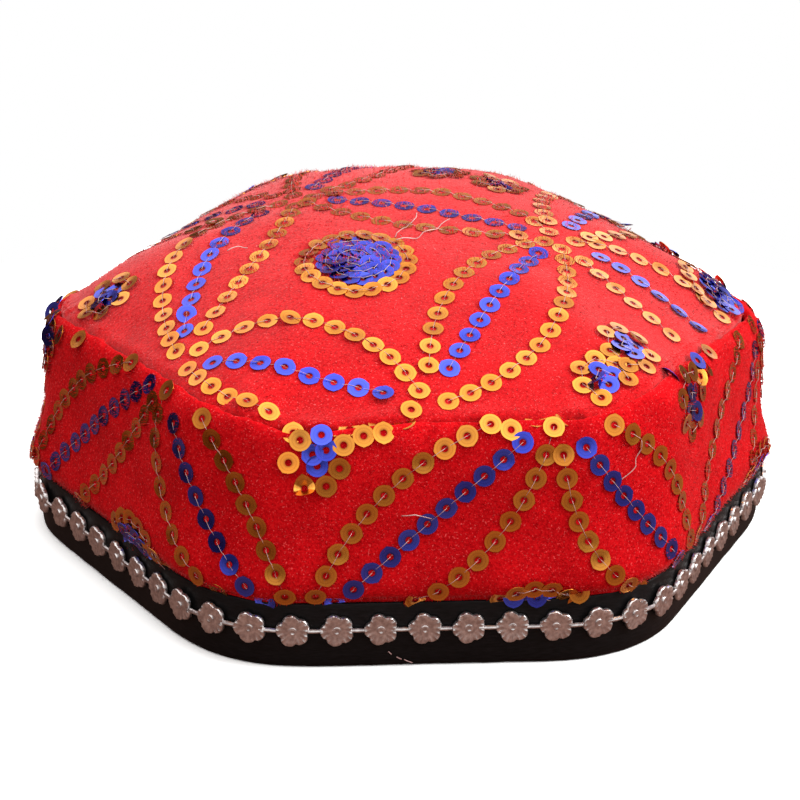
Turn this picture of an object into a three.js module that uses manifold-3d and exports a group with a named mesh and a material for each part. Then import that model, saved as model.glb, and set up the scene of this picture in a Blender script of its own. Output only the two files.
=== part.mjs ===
// A six-sided dance hat: a domed top of red velvet, a side wall of the same velvet, a black
// ribbon bound over the rim, and a chain of small metal flowers round the ribbon.
// Millimetres, +Z up. The rim stands on z = 0, the front side faces -Y, and one corner points
// along +X and one along -X.

import * as THREE from 'three';
import { mergeVertices } from 'three/addons/utils/BufferGeometryUtils.js';
import Module from 'manifold-3d';

const wasm = await Module();
wasm.setup();

// Plan of the hat, on the line that the flower chain follows
const CORNER_REACH = 100.8; // from the centre to where two neighbouring sides would cross
const HALF_CORNER = Math.PI / 6; // half of the turn that the outline makes at a corner
const CORNERS = [
  { direction: 180, radius: 28 }, // left
  { direction: 240, radius: 37 }, // front left
  { direction: 300, radius: 37 }, // front right
  { direction: 0, radius: 28 }, // right
  { direction: 60, radius: 34 }, // back right
  { direction: 120, radius: 34 }, // back left
];
const STEPS_ROUND_CORNER = 5;
const STEPS_ALONG_SIDE = 6;

// Cloth and ribbon
const CLOTH = 1.6; // velvet with its backing
const RIBBON = 1.2;
const GAP = 0.3; // left free between two pieces that touch
const RIBBON_OUT = -0.8; // outer face of the ribbon, measured outwards from the chain's line
const RIBBON_HEIGHT = 17.5; // on the outside
const RIBBON_TURN_UP = 14; // on the inside
const RIBBON_EDGE = 0.7; // how far the fold under the rim is rounded
const RIM_FLOOR = 2.3; // top of the ribbon's fold, inside it

// Seam between the wall and the top
const SEAM_SET_IN = 8.15; // how far inside the chain's line the two velvets meet
const SEAM_LEVEL = 60; // the height that the profiles below are drawn for
const ALLOWANCE = 5; // how far the seam's cut edges hang down inside
const SEAM_HEIGHTS = [
  { direction: 0, height: 57.2 },
  { direction: 30, height: 58.6 },
  { direction: 60, height: 57.2 },
  { direction: 90, height: 59 },
  { direction: 120, height: 55.4 },
  { direction: 150, height: 58 },
  { direction: 180, height: 59 },
  { direction: 195, height: 60.5 },
  { direction: 222, height: 62 },
  { direction: 240, height: 60.5 },
  { direction: 249, height: 57.8 },
  { direction: 266, height: 60.2 },
  { direction: 292, height: 60.2 },
  { direction: 309, height: 63.5 },
  { direction: 326, height: 62 },
  { direction: 345, height: 58.5 },
];

// The wall from its lower edge, hidden in the ribbon, up to the seam and down its allowance;
// loose says how much of the dents and gathers the cloth takes there, and back marks the rows
// that its inner face is drawn with
const WALL_LOWER_EDGE = RIM_FLOOR + GAP;
const WALL_IN_RIBBON = RIBBON_OUT - RIBBON - GAP;
const WALL_PROFILE = [
  { height: WALL_LOWER_EDGE, out: WALL_IN_RIBBON, loose: 0, back: true },
  { height: RIBBON_HEIGHT + 0.2, out: WALL_IN_RIBBON, loose: 0, back: true },
  { height: RIBBON_HEIGHT + 0.6, out: -0.4, loose: 0, back: false },
  { height: 19.6, out: 0.6, loose: 0.2, back: true },
  { height: 22, out: 1, loose: 0.5, back: true },
  { height: 27, out: 0, loose: 1, back: false },
  { height: 35, out: -1.4, loose: 1, back: true },
  { height: 45, out: -2.2, loose: 1, back: false },
  { height: 53, out: -3.1, loose: 1, back: true },
  { height: 57.4, out: -4.5, loose: 0.7, back: true },
  { height: 59.3, out: -6, loose: 0.3, back: false },
  { height: 59.4, out: -7.3, loose: 0, back: true },
  { height: 58, out: -SEAM_SET_IN, loose: 0, back: true },
  { height: SEAM_LEVEL - ALLOWANCE, out: -SEAM_SET_IN, loose: 0, back: true },
];
const WALL_FOOT = 22; // below this height the wall keeps its shape all round
const SEAM_ZONE = 53; // above this height it moves up and down with the seam

// The top, from the lower edge of its allowance to where the dome begins
const TOP_SET_IN = SEAM_SET_IN + GAP;
const TOP_EDGE_PROFILE = [
  { height: SEAM_LEVEL - ALLOWANCE, out: -TOP_SET_IN },
  { height: 58.4, out: -TOP_SET_IN },
  { height: 59.9, out: -TOP_SET_IN - 0.5 },
];
const INNER_EDGE_HEIGHT = 57.6; // where the top's underside meets its allowance
const DOME_FOOT_SET_IN = 10.2;
const DOME_FOOT_HEIGHT = 60.8;
const DOME_RISE = 22.8; // from the dome's foot to the middle of the top
const DOME_LEAN_BACK = 0.1; // extra rise for each millimetre that a point lies behind the middle
const DOME_FLATNESS = 2.9; // higher is flatter in the middle
const DOME_SHOULDER = 0.98; // higher is softer at the foot
const DOME_RINGS = [1, 0.95, 0.87, 0.75, 0.6, 0.42, 0.22]; // share of the way out from the middle
const UNDERSIDE_DROP = 1.12 * CLOTH; // straight down through the sloping cloth
const SEAM_REACH = 3; // how fast the seam's ups and downs fade towards the middle of the top
const ROUNDING = 0.2; // how soon the dome's rings turn from a hexagon to a circle

// Soft dents and swells: direction seen from above, height, reach sideways and up, and depth
const DENTS = [
  { direction: 238, height: 42, sideways: 6, up: 22, depth: 0.9 },
  { direction: 231, height: 44, sideways: 6, up: 20, depth: -0.7 },
  { direction: 249, height: 53, sideways: 7, up: 6, depth: 1.1 },
  { direction: 270, height: 40, sideways: 20, up: 14, depth: -0.8 },
  { direction: 301, height: 45, sideways: 6, up: 20, depth: 0.9 },
  { direction: 309, height: 46, sideways: 7, up: 18, depth: -0.8 },
  { direction: 181, height: 50, sideways: 9, up: 7, depth: 1.2 },
  { direction: 357, height: 36, sideways: 9, up: 9, depth: 1 },
  { direction: 60, height: 42, sideways: 7, up: 20, depth: 0.8 },
  { direction: 120, height: 42, sideways: 7, up: 20, depth: 0.8 },
  { direction: 90, height: 42, sideways: 20, up: 14, depth: -0.8 },
];
const GATHERS_START = 44; // height on the wall where the gathers begin
const TOP_GATHERS = 3.2; // how much stronger they are on the top
const TOP_GATHERS_FADE = 9; // how fast they fade from the seam towards the middle
const PUCKERS = [
  { waves: 13, size: 0.3, turn: 0.4 },
  { waves: 23, size: 0.22, turn: 2.1 },
];

// Flower chain
const FLOWERS = 57;
const FIRST_FLOWER = 0.47; // how far the first one is moved along, as a share of their spacing
const CHAIN_HEIGHT = 10.3;
const PETALS = 5;
const PETAL_CENTRE = 2.45; // from the flower's middle to the middle of a petal
const PETAL_RADIUS = 1.65;
const PETAL_SPREAD = [-44, 44]; // points on a petal's rim, degrees from its middle
const NOTCH = 2.75; // from the flower's middle to the notch between two petals
const FLOWER_BACK = -0.5; // outwards from the chain's line
const FLOWER_RIM = 0.35;
const FLOWER_BOSS = 0.95;
const LINK_WIDTH = 0.9;
const LINK_THICKNESS = 0.6;
const LINK_LENGTH = 5;

const radians = THREE.MathUtils.degToRad;

// A closed mesh from corner points and triangles
function solidGeometry(points, triangles) {
  const geometry = new THREE.BufferGeometry();
  geometry.setAttribute('position', new THREE.Float32BufferAttribute(points.flat(), 3));
  geometry.setIndex(triangles.flat());
  return geometry;
}

// Points of the outline with the way it faces there, corner by corner
function rimStations() {
  const arcEnd = (corner, turn) => {
    const reach = CORNER_REACH - corner.radius / Math.cos(HALF_CORNER);
    const toCorner = radians(corner.direction);
    const facing = toCorner + turn;
    return {
      x: reach * Math.cos(toCorner) + corner.radius * Math.cos(facing),
      y: reach * Math.sin(toCorner) + corner.radius * Math.sin(facing),
      nx: Math.cos(facing),
      ny: Math.sin(facing),
    };
  };
  return CORNERS.flatMap((corner, i) => {
    const arc = [];
    for (let step = 0; step <= STEPS_ROUND_CORNER; step++) {
      arc.push(arcEnd(corner, HALF_CORNER * (2 * step / STEPS_ROUND_CORNER - 1)));
    }
    const from = arc[STEPS_ROUND_CORNER];
    const to = arcEnd(CORNERS[(i + 1) % CORNERS.length], -HALF_CORNER);
    const side = [];
    for (let step = 1; step < STEPS_ALONG_SIDE; step++) {
      const share = step / STEPS_ALONG_SIDE;
      side.push({ ...from, x: from.x + share * (to.x - from.x), y: from.y + share * (to.y - from.y) });
    }
    return [...arc, ...side];
  }).map((station) => ({ ...station, angle: Math.atan2(station.y, station.x) }));
}

// Smallest turn between two directions, in degrees
function turnBetween(angle, direction) {
  const turn = THREE.MathUtils.radToDeg(angle) - direction;
  return THREE.MathUtils.euclideanModulo(turn + 180, 360) - 180;
}

// Height of the seam in a direction, eased between the measured ones
function seamHeight(angle) {
  const degrees = THREE.MathUtils.euclideanModulo(THREE.MathUtils.radToDeg(angle), 360);
  const last = SEAM_HEIGHTS.length - 1;
  const after = SEAM_HEIGHTS.findIndex((row) => row.direction > degrees);
  const low = SEAM_HEIGHTS[after < 0 ? last : after - 1];
  const high = SEAM_HEIGHTS[after < 0 ? 0 : after];
  const span = THREE.MathUtils.euclideanModulo(high.direction - low.direction, 360);
  const ease = THREE.MathUtils.smoothstep((degrees - low.direction) / span, 0, 1);
  return low.height + ease * (high.height - low.height);
}

// Small gathers that the seam pulls into both velvets
function pucker(angle) {
  return PUCKERS.reduce((sum, wave) => sum + wave.size * Math.sin(wave.waves * angle + wave.turn), 0);
}

function dentDepth(angle, height) {
  return DENTS.reduce((sum, dent) => {
    const sideways = turnBetween(angle, dent.direction) / dent.sideways;
    const up = (height - dent.height) / dent.up;
    return sum + dent.depth * Math.exp(-sideways * sideways - up * up);
  }, 0);
}

// Heights drawn for a level seam, moved to where the seam is in this direction
function heightAt(height, angle) {
  const lift = seamHeight(angle) - SEAM_LEVEL;
  return height + lift * THREE.MathUtils.clamp((height - WALL_FOOT) / (SEAM_ZONE - WALL_FOOT), 0, 1);
}

// A profile moved sideways by a thickness, to the inside of the hat
function insideOf(profile, thickness) {
  const points = profile.map((row) => new THREE.Vector2(row.out, row.height));
  return points.map((point, i) => {
    const before = points[Math.max(i - 1, 0)];
    const after = points[Math.min(i + 1, points.length - 1)];
    const first = point.clone().sub(before).normalize();
    const second = after.clone().sub(point).normalize();
    const along = first.add(second).normalize();
    return {
      ...profile[i], out: point.x - thickness * along.y, height: point.y + thickness * along.x,
    };
  });
}

const stations = rimStations();

// Closed tube of cloth: rings of points round the hat, joined ring to ring and last to first
function ringSolid(rings) {
  const count = stations.length;
  const points = rings.flat();
  const triangles = [];
  rings.forEach((_, r) => {
    const below = r * count;
    const above = ((r + 1) % rings.length) * count;
    for (let i = 0; i < count; i++) {
      const next = (i + 1) % count;
      triangles.push([below + i, below + next, above + next], [below + i, above + next, above + i]);
    }
  });
  return solidGeometry(points, triangles);
}

function ringOfPoints(place) {
  return stations.map((station) => {
    const { out, height } = place(station);
    return [station.x + out * station.nx, station.y + out * station.ny, height];
  });
}

// Side wall: one strip of velvet with six soft corners
function sideWall() {
  const outer = WALL_PROFILE;
  const inner = insideOf(WALL_PROFILE, CLOTH).filter((row) => row.back).reverse();
  const rings = [...outer, ...inner].map((row) => ringOfPoints(({ angle }) => {
    const gathered = THREE.MathUtils.smoothstep(row.height, GATHERS_START, SEAM_ZONE);
    const move = gathered * pucker(angle) - dentDepth(angle, row.height);
    return { out: row.out + row.loose * move, height: heightAt(row.height, angle) };
  }));
  return ringSolid(rings);
}

// Domed top: a velvet hexagon that stands up from its seam
function crownTop() {
  const count = stations.length;
  const foot = ringOfPoints(() => ({ out: -DOME_FOOT_SET_IN, height: 0 }));
  const circle = foot.reduce((sum, point) => sum + Math.hypot(point[0], point[1]), 0) / count;
  const centreRise = DOME_FOOT_HEIGHT + DOME_RISE;

  const domePoint = (i, share, drop) => {
    const { angle } = stations[i];
    const hexagon = Math.pow(share, ROUNDING);
    const reach = share * (hexagon * Math.hypot(foot[i][0], foot[i][1]) + (1 - hexagon) * circle);
    const x = reach * Math.cos(Math.atan2(foot[i][1], foot[i][0]));
    const y = reach * Math.sin(Math.atan2(foot[i][1], foot[i][0]));
    const rise = Math.pow(1 - Math.pow(share, DOME_FLATNESS), DOME_SHOULDER);
    const lift = (seamHeight(angle) - SEAM_LEVEL) * Math.pow(share, SEAM_REACH);
    const gather = TOP_GATHERS * pucker(angle) * Math.pow(share, TOP_GATHERS_FADE) * (1 - share);
    const height = DOME_FOOT_HEIGHT + lift + rise * (DOME_RISE + DOME_LEAN_BACK * y) + gather;
    return [x, y, height - drop];
  };

  const edge = TOP_EDGE_PROFILE;
  const innerEdge = [
    { height: INNER_EDGE_HEIGHT, out: -TOP_SET_IN - CLOTH },
    { height: SEAM_LEVEL - ALLOWANCE, out: -TOP_SET_IN - CLOTH },
  ];
  const ringAtEdge = (row) => ringOfPoints(({ angle }) => ({
    out: row.out, height: heightAt(row.height, angle),
  }));
  const domeRing = (share, drop) => stations.map((_, i) => domePoint(i, share, drop));
  const outside = [...edge.map(ringAtEdge), ...DOME_RINGS.map((share) => domeRing(share, 0))];
  const inside = [
    ...DOME_RINGS.slice(1).reverse().map((share) => domeRing(share, UNDERSIDE_DROP)),
    ...innerEdge.map(ringAtEdge),
  ];
  const points = [...outside, ...inside].flat();
  const triangles = [];
  const joinRings = (a, b) => {
    for (let i = 0; i < count; i++) {
      const next = (i + 1) % count;
      triangles.push([a * count + i, a * count + next, b * count + next]);
      triangles.push([a * count + i, b * count + next, b * count + i]);
    }
  };
  const lastOutside = outside.length - 1;
  const total = outside.length + inside.length;
  for (let r = 0; r < lastOutside; r++) joinRings(r, r + 1);
  for (let r = outside.length; r < total - 1; r++) joinRings(r, r + 1);
  joinRings(total - 1, 0);
  const outerPole = points.push([0, 0, centreRise]) - 1;
  const innerPole = points.push([0, 0, centreRise - UNDERSIDE_DROP]) - 1;
  for (let i = 0; i < count; i++) {
    const next = (i + 1) % count;
    triangles.push([lastOutside * count + i, lastOutside * count + next, outerPole]);
    triangles.push([outside.length * count + next, outside.length * count + i, innerPole]);
  }
  return solidGeometry(points, triangles);
}

// Ribbon folded over the rim: outer leaf, rounded fold, inner leaf
function rimBand() {
  const outerFace = RIBBON_OUT;
  const pocketOuter = RIBBON_OUT - RIBBON;
  const pocketInner = pocketOuter - 2 * GAP - CLOTH;
  const innerFace = pocketInner - RIBBON;
  const profile = [
    { height: 0, out: innerFace + RIBBON_EDGE },
    { height: 0, out: outerFace - RIBBON_EDGE },
    { height: RIBBON_EDGE, out: outerFace },
    { height: RIBBON_HEIGHT, out: outerFace },
    { height: RIBBON_HEIGHT, out: pocketOuter },
    { height: RIM_FLOOR, out: pocketOuter },
    { height: RIM_FLOOR, out: pocketInner },
    { height: RIBBON_TURN_UP, out: pocketInner },
    { height: RIBBON_TURN_UP, out: innerFace },
    { height: RIBBON_EDGE, out: innerFace },
  ];
  return ringSolid(profile.map((row) => ringOfPoints(() => row)));
}

// The line that the chain follows, as straight sides and round corners
function chainPath() {
  const path = new THREE.Path();
  CORNERS.forEach((corner) => {
    const reach = CORNER_REACH - corner.radius / Math.cos(HALF_CORNER);
    const toCorner = radians(corner.direction);
    path.absarc(reach * Math.cos(toCorner), reach * Math.sin(toCorner), corner.radius,
      toCorner - HALF_CORNER, toCorner + HALF_CORNER, false);
  });
  path.closePath();
  return path;
}

// One flower, in a plane of width and height with its depth outwards
function flowerSolid() {
  const outline = [];
  for (let petal = 0; petal < PETALS; petal++) {
    const middle = Math.PI / 2 + petal * 2 * Math.PI / PETALS;
    for (const spread of PETAL_SPREAD) {
      const facing = middle + radians(spread);
      outline.push([
        PETAL_CENTRE * Math.cos(middle) + PETAL_RADIUS * Math.cos(facing),
        PETAL_CENTRE * Math.sin(middle) + PETAL_RADIUS * Math.sin(facing),
      ]);
    }
    const notch = middle + Math.PI / PETALS;
    outline.push([NOTCH * Math.cos(notch), NOTCH * Math.sin(notch)]);
  }
  const count = outline.length;
  const points = [
    ...outline.map(([x, y]) => [x, y, FLOWER_BACK]),
    ...outline.map(([x, y]) => [x, y, FLOWER_RIM]),
    [0, 0, FLOWER_BACK],
    [0, 0, FLOWER_BOSS],
  ];
  const triangles = [];
  for (let i = 0; i < count; i++) {
    const next = (i + 1) % count;
    triangles.push([i, next, count + next], [i, count + next, count + i]);
    triangles.push([next, i, 2 * count], [count + i, count + next, 2 * count + 1]);
  }
  return solidGeometry(points, triangles);
}

function toManifold(geometry) {
  const bare = geometry.clone();
  bare.deleteAttribute('normal');
  bare.deleteAttribute('uv');
  const merged = mergeVertices(bare);
  return new wasm.Manifold(new wasm.Mesh({
    numProp: 3,
    vertProperties: new Float32Array(merged.attributes.position.array),
    triVerts: new Uint32Array(merged.index.array),
  }));
}

function fromManifold(solid) {
  const mesh = solid.getMesh();
  const geometry = new THREE.BufferGeometry();
  geometry.setAttribute('position', new THREE.BufferAttribute(new Float32Array(mesh.vertProperties), 3));
  geometry.setIndex(new THREE.BufferAttribute(new Uint32Array(mesh.triVerts), 1));
  return geometry;
}

// Chain of flowers and links, all in one piece
function flowerTrim() {
  const path = chainPath();
  const flower = flowerSolid();
  const link = new THREE.BoxGeometry(LINK_LENGTH, LINK_WIDTH, LINK_THICKNESS);
  const placed = (geometry, share) => {
    const at = path.getPointAt(share % 1);
    const along = path.getTangentAt(share % 1);
    const frame = new THREE.Matrix4().makeBasis(
      new THREE.Vector3(along.x, along.y, 0),
      new THREE.Vector3(0, 0, 1),
      new THREE.Vector3(along.y, -along.x, 0),
    );
    frame.setPosition(at.x, at.y, CHAIN_HEIGHT);
    return toManifold(geometry.clone().applyMatrix4(frame));
  };
  const pieces = [];
  for (let i = 0; i < FLOWERS; i++) {
    const step = i + FIRST_FLOWER;
    pieces.push(placed(flower, step / FLOWERS), placed(link, (step + 0.5) / FLOWERS));
  }
  return fromManifold(pieces.reduce((sum, piece) => sum.add(piece)));
}

const velvetTop = new THREE.MeshStandardMaterial({ color: 0xd81828, roughness: 0.85, metalness: 0 });
const velvetWall = new THREE.MeshStandardMaterial({ color: 0xc8121f, roughness: 0.85, metalness: 0 });
const ribbon = new THREE.MeshStandardMaterial({ color: 0x0e0c0d, roughness: 0.45, metalness: 0 });
const silver = new THREE.MeshStandardMaterial({ color: 0xa89c9a, roughness: 0.35, metalness: 1 });

function namedMesh(name, geometry, material) {
  const mesh = new THREE.Mesh(geometry, material);
  mesh.name = name;
  return mesh;
}

const hat = new THREE.Group();
hat.add(
  namedMesh('crown_top', crownTop(), velvetTop),
  namedMesh('side_wall', sideWall(), velvetWall),
  namedMesh('rim_band', rimBand(), ribbon),
  namedMesh('flower_trim', flowerTrim(), silver),
);

export default hat;
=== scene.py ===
# %% [markdown]
# # A six-sided dance hat in red velvet
#
# The hat stands on its rim: a domed top and an upright side wall of red velvet, sewn together round
# the edge, a black ribbon folded over the rim, and a chain of small metal flowers on the ribbon.
# Gold and blue sequins run over the velvet on fine threads.
#
# The construction model gives every piece its true place and size. This lesson gives each piece its
# surface. Lengths in the tables are in millimetres, and Blender works in metres.

# %% The construction model
import math

import bpy
import numpy as np
from mathutils import Matrix, Vector, noise
from mathutils.bvhtree import BVHTree


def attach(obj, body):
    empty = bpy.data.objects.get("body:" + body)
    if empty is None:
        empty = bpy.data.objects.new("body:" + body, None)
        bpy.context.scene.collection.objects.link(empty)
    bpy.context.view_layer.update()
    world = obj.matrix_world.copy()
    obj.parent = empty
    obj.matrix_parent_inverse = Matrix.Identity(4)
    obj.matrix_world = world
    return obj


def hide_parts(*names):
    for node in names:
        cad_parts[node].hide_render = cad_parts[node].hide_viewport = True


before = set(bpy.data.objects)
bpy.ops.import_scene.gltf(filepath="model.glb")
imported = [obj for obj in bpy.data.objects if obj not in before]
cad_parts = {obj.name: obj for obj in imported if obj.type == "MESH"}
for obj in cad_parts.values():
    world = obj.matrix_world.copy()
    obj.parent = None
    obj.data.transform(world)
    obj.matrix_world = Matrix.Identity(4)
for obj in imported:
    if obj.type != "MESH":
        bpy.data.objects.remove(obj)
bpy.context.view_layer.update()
MM = 0.001

# %% [markdown]
# ## The camera
#
# The hat is seen from a little above and from just left of its front, at arm's length, through a
# long lens. A camera can be aimed with a constraint, but then its tilt is hidden in the constraint.
# Here its three axes are worked out from a few angles, so that each number means one thing.

# %% Camera
CAMERA_DISTANCE = 0.637
CAMERA_ELEVATION = math.radians(24.87)
CAMERA_TURN = math.radians(-5.07)
AIM_LEFT = math.radians(0.115)
AIM_UP = math.radians(2.657)
CAMERA_ROLL = math.radians(1.02)
LENS = 107.06
SENSOR_WIDTH = 36
UP = Vector((0, 0, 1))


def camera_axes():
    """The camera's right, up and backward directions, and the place it stands in."""
    level = math.cos(CAMERA_ELEVATION)
    back = Vector((math.sin(CAMERA_TURN) * level, -math.cos(CAMERA_TURN) * level, math.sin(CAMERA_ELEVATION)))
    right = (-back).cross(UP).normalized()
    up = right.cross(-back)
    forward = (-back - math.tan(AIM_LEFT) * right + math.tan(AIM_UP) * up).normalized()
    right = forward.cross(UP).normalized()
    up = right.cross(forward)
    cos, sin = math.cos(CAMERA_ROLL), math.sin(CAMERA_ROLL)
    return cos * right + sin * up, cos * up - sin * right, -forward, back * CAMERA_DISTANCE


camera = bpy.data.objects.new("camera", bpy.data.cameras.new("camera"))
bpy.context.scene.collection.objects.link(camera)
right, up, back, place = camera_axes()
camera.matrix_world = Matrix.LocRotScale(place, Matrix((right, up, back)).transposed(), None)
camera.data.lens = LENS
camera.data.sensor_width = SENSOR_WIDTH
bpy.context.scene.camera = camera
print("camera at", [round(v, 3) for v in place])

# %% [markdown]
# ## Floor
#
# The table is pale to the eye. A plain pale floor would do for that, but the sequins are mirrors: if
# they mirrored a pale table, the wall's discs would be as bright as the top's. So only the camera
# sees it pale, and every other ray meets a darker, warmer table. The sequins of the upright wall
# then turn brown and navy.

# %% Choosing what an operator acts on
def deselect_all():
    """Leaves nothing selected, so that an operator acts only on what comes next."""
    if bpy.context.mode != "OBJECT":
        bpy.ops.object.mode_set(mode="OBJECT")
    bpy.ops.object.select_all(action="DESELECT")


def choose(piece):
    """Makes one object the only selected one and the active one."""
    deselect_all()
    piece.select_set(True)
    bpy.context.view_layer.objects.active = piece


# %% [markdown]
# A material is a small network of nodes. Each could be wired by hand, but the same few steps return
# in all of them: noise that keeps to the piece, a ramp that turns it into colours, a product of two
# colours, a fine bump. So each step is a function, and most of them give back their output.

# %% Steps that the materials share
MIX_A, MIX_B, MIXED = 6, 7, 2  # the two colour inputs and the colour output of a Mix node


def new_material(name, constants):
    """A material whose shader has these constant sockets."""
    material = bpy.data.materials.new(name)
    material.use_nodes = True
    surface = material.node_tree.nodes["Principled BSDF"]
    for socket, value in constants.items():
        surface.inputs[socket].default_value = value
    return material


def add_node(tree, kind, values=(), **settings):
    """A node with these socket values and settings."""
    made = tree.nodes.new(kind)
    for name, value in settings.items():
        setattr(made, name, value)
    for socket, value in dict(values).items():
        made.inputs[socket].default_value = value
    return made


def ramp(tree, value, stops):
    """The colour for a value, from stops that are each a place from 0 to 1 and a colour."""
    made = add_node(tree, "ShaderNodeValToRGB")
    elements = made.color_ramp.elements
    while len(elements) < len(stops):
        elements.new(0.5)
    for element, (place, colour) in zip(elements, stops):
        element.position = place
        element.color = colour
    tree.links.new(value, made.inputs[0])
    return made.outputs[0]


def multiplied(tree, first, second):
    """The product of two colours."""
    mix = add_node(tree, "ShaderNodeMix", {0: 1}, data_type="RGBA", blend_type="MULTIPLY")
    tree.links.new(first, mix.inputs[MIX_A])
    tree.links.new(second, mix.inputs[MIX_B])
    return mix.outputs[MIXED]


def grain(tree, scale, detail=2, roughness=0.5, stretch=(1, 1, 1)):
    """Noise on the piece's own coordinates. Its grain is finer along an axis with a larger stretch."""
    place = add_node(tree, "ShaderNodeTexCoord")
    mapping = add_node(tree, "ShaderNodeMapping", {"Scale": stretch})
    texture = add_node(tree, "ShaderNodeTexNoise", {"Scale": scale, "Detail": detail, "Roughness": roughness})
    tree.links.new(place.outputs["Object"], mapping.inputs["Vector"])
    tree.links.new(mapping.outputs[0], texture.inputs["Vector"])
    return texture.outputs["Fac"]


def paint(tree, output, socket="Base Color"):
    """Feeds an output into a socket of the shader."""
    tree.links.new(output, tree.nodes["Principled BSDF"].inputs[socket])


def raise_bumps(tree, height, strength, distance):
    """Shades the surface as if it rose and fell with a height; the distance is in millimetres."""
    made = add_node(tree, "ShaderNodeBump", {"Strength": strength, "Distance": distance * MM})
    tree.links.new(height, made.inputs["Height"])
    paint(tree, made.outputs[0], "Normal")


# %% Pale floor
FLOOR_RADIUS = 0.24
FLOOR_SIDES = 96
FLOOR_SEEN = (1.42, 1.45, 1.45, 1)
FLOOR_MIRRORED = (0.20, 0.105, 0.08, 1)


def seen_or_not(tree, unseen, seen):
    """One colour for the camera, and another colour or an output for every other ray."""
    sight = add_node(tree, "ShaderNodeLightPath")
    mix = add_node(tree, "ShaderNodeMix", {MIX_B: seen}, data_type="RGBA")
    tree.links.new(sight.outputs["Is Camera Ray"], mix.inputs[0])
    if isinstance(unseen, tuple):
        mix.inputs[MIX_A].default_value = unseen
    else:
        tree.links.new(unseen, mix.inputs[MIX_A])
    return mix.outputs[MIXED]


deselect_all()
bpy.ops.mesh.primitive_circle_add(
    vertices=FLOOR_SIDES, radius=FLOOR_RADIUS, fill_type="NGON", location=(0, 0, 0)
)
floor = bpy.context.object
floor.name = "floor"
table = new_material("pale table", {"Roughness": 0.9, "Specular IOR Level": 0.1})
paint(table.node_tree, seen_or_not(table.node_tree, FLOOR_MIRRORED, FLOOR_SEEN))
floor.data.materials.append(table)
print("floor:", 2 * FLOOR_RADIUS, "m across")

# %% [markdown]
# ## Lamps and room
#
# A soft lamp at the front right models the folds, and a wide one overhead lights the top. Two weak
# ones behind, at the right and the left, are there for the discs of the top that mirror them.
#
# Foil shows what it mirrors, so the room matters as much as the lamps. It could be one even grey,
# but then every disc would have the same shine. This room is bright overhead, in front and at the
# right, and dim low down at the back and at the left.

# %% Lamps
LAMPS = [  # name, turn (0 in front, 90 at the right), elevation, size in metres, watts
    ("key", 76, 36, 0.5, 5.3),
    ("overhead", 10, 80, 1.2, 4),
    ("behind at the right", 150, 23, 0.4, 0.7),
    ("behind at the left", -142, 39, 0.5, 0.9),
]
LAMP_DISTANCE = 0.9
LAMP_AIM = Vector((0, 0, 0.04))


def add_softbox(name, turn, elevation, size, watts):
    """A square area lamp that faces the hat."""
    a, e = math.radians(turn), math.radians(elevation)
    away = Vector((math.sin(a) * math.cos(e), -math.cos(a) * math.cos(e), math.sin(e)))
    lamp = bpy.data.objects.new(name, bpy.data.lights.new(name, "AREA"))
    lamp.data.energy = watts
    lamp.data.size = size
    lamp.location = away * LAMP_DISTANCE + LAMP_AIM
    lamp.rotation_euler = away.to_track_quat("Z", "Y").to_euler()
    bpy.context.scene.collection.objects.link(lamp)


for lamp in LAMPS:
    add_softbox(*lamp)

# %% Room
ROOM_FACES = (0.42, -0.42, 0.80)  # the direction in which the room is brightest
ROOM_LEVELS = [  # cosine of the angle away from that direction, and how bright the room is there
    (-1.0, (0.12, 0.08, 0.07, 1)),
    (-0.30, (0.20, 0.13, 0.12, 1)),
    (0.04, (0.50, 0.40, 0.38, 1)),
    (0.32, (1, 0.97, 0.96, 1)),
]
HEIGHT_LEVELS = [  # height above the horizon as a sine, and the share of that light left there
    (-0.12, (0.40, 0.26, 0.20, 1)),
    (0.02, (0.34, 0.22, 0.18, 1)),
    (0.07, (0.10, 0.08, 0.08, 1)),
    (0.13, (0.12, 0.10, 0.10, 1)),
    (0.21, (1, 1, 1, 1)),
]
ROOM_STRENGTH = 1.08
BACKDROP = (1 / ROOM_STRENGTH, 1 / ROOM_STRENGTH, 1 / ROOM_STRENGTH, 1)  # white to the camera

world = bpy.data.worlds.new("studio")
bpy.context.scene.world = world
world.use_nodes = True
room = world.node_tree
background = room.nodes["Background"]
background.inputs["Strength"].default_value = ROOM_STRENGTH
direction = add_node(room, "ShaderNodeTexCoord")


def room_light(axis, levels):
    """The room's light by how far a direction turns away from an axis."""
    facing = add_node(room, "ShaderNodeVectorMath", {1: Vector(axis).normalized()}, operation="DOT_PRODUCT")
    rescale = add_node(room, "ShaderNodeMapRange", {"From Min": -1, "From Max": 1})
    room.links.new(direction.outputs["Generated"], facing.inputs[0])
    room.links.new(facing.outputs["Value"], rescale.inputs["Value"])
    return ramp(room, rescale.outputs[0], [((cosine + 1) / 2, colour) for cosine, colour in levels])


light = multiplied(room, room_light(ROOM_FACES, ROOM_LEVELS), room_light(UP, HEIGHT_LEVELS))
room.links.new(seen_or_not(room, light, BACKDROP), background.inputs[0])
bpy.context.scene.view_settings.view_transform = "Standard"
print("room:", len(room.nodes), "nodes")

# %% [markdown]
# ## The line round the rim
#
# Dents, flowers and sequins are placed by how far along the rim they lie. The chain of flowers
# follows a hexagon with rounded corners, so that line is drawn first: a corner is an arc, and the
# sides join the arcs. A place on it is a distance from the front's middle, positive to the right.

# %% Chain line
CORNER_REACH = 100.8
CORNERS = [  # direction of the corner in degrees, and the radius of its curve
    (300, 37),
    (0, 28),
    (60, 34),
    (120, 34),
    (180, 28),
    (240, 37),
]
HALF_TURN = math.radians(30)
ARC_STEPS = 24
LINE_STEP = 0.5


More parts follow.
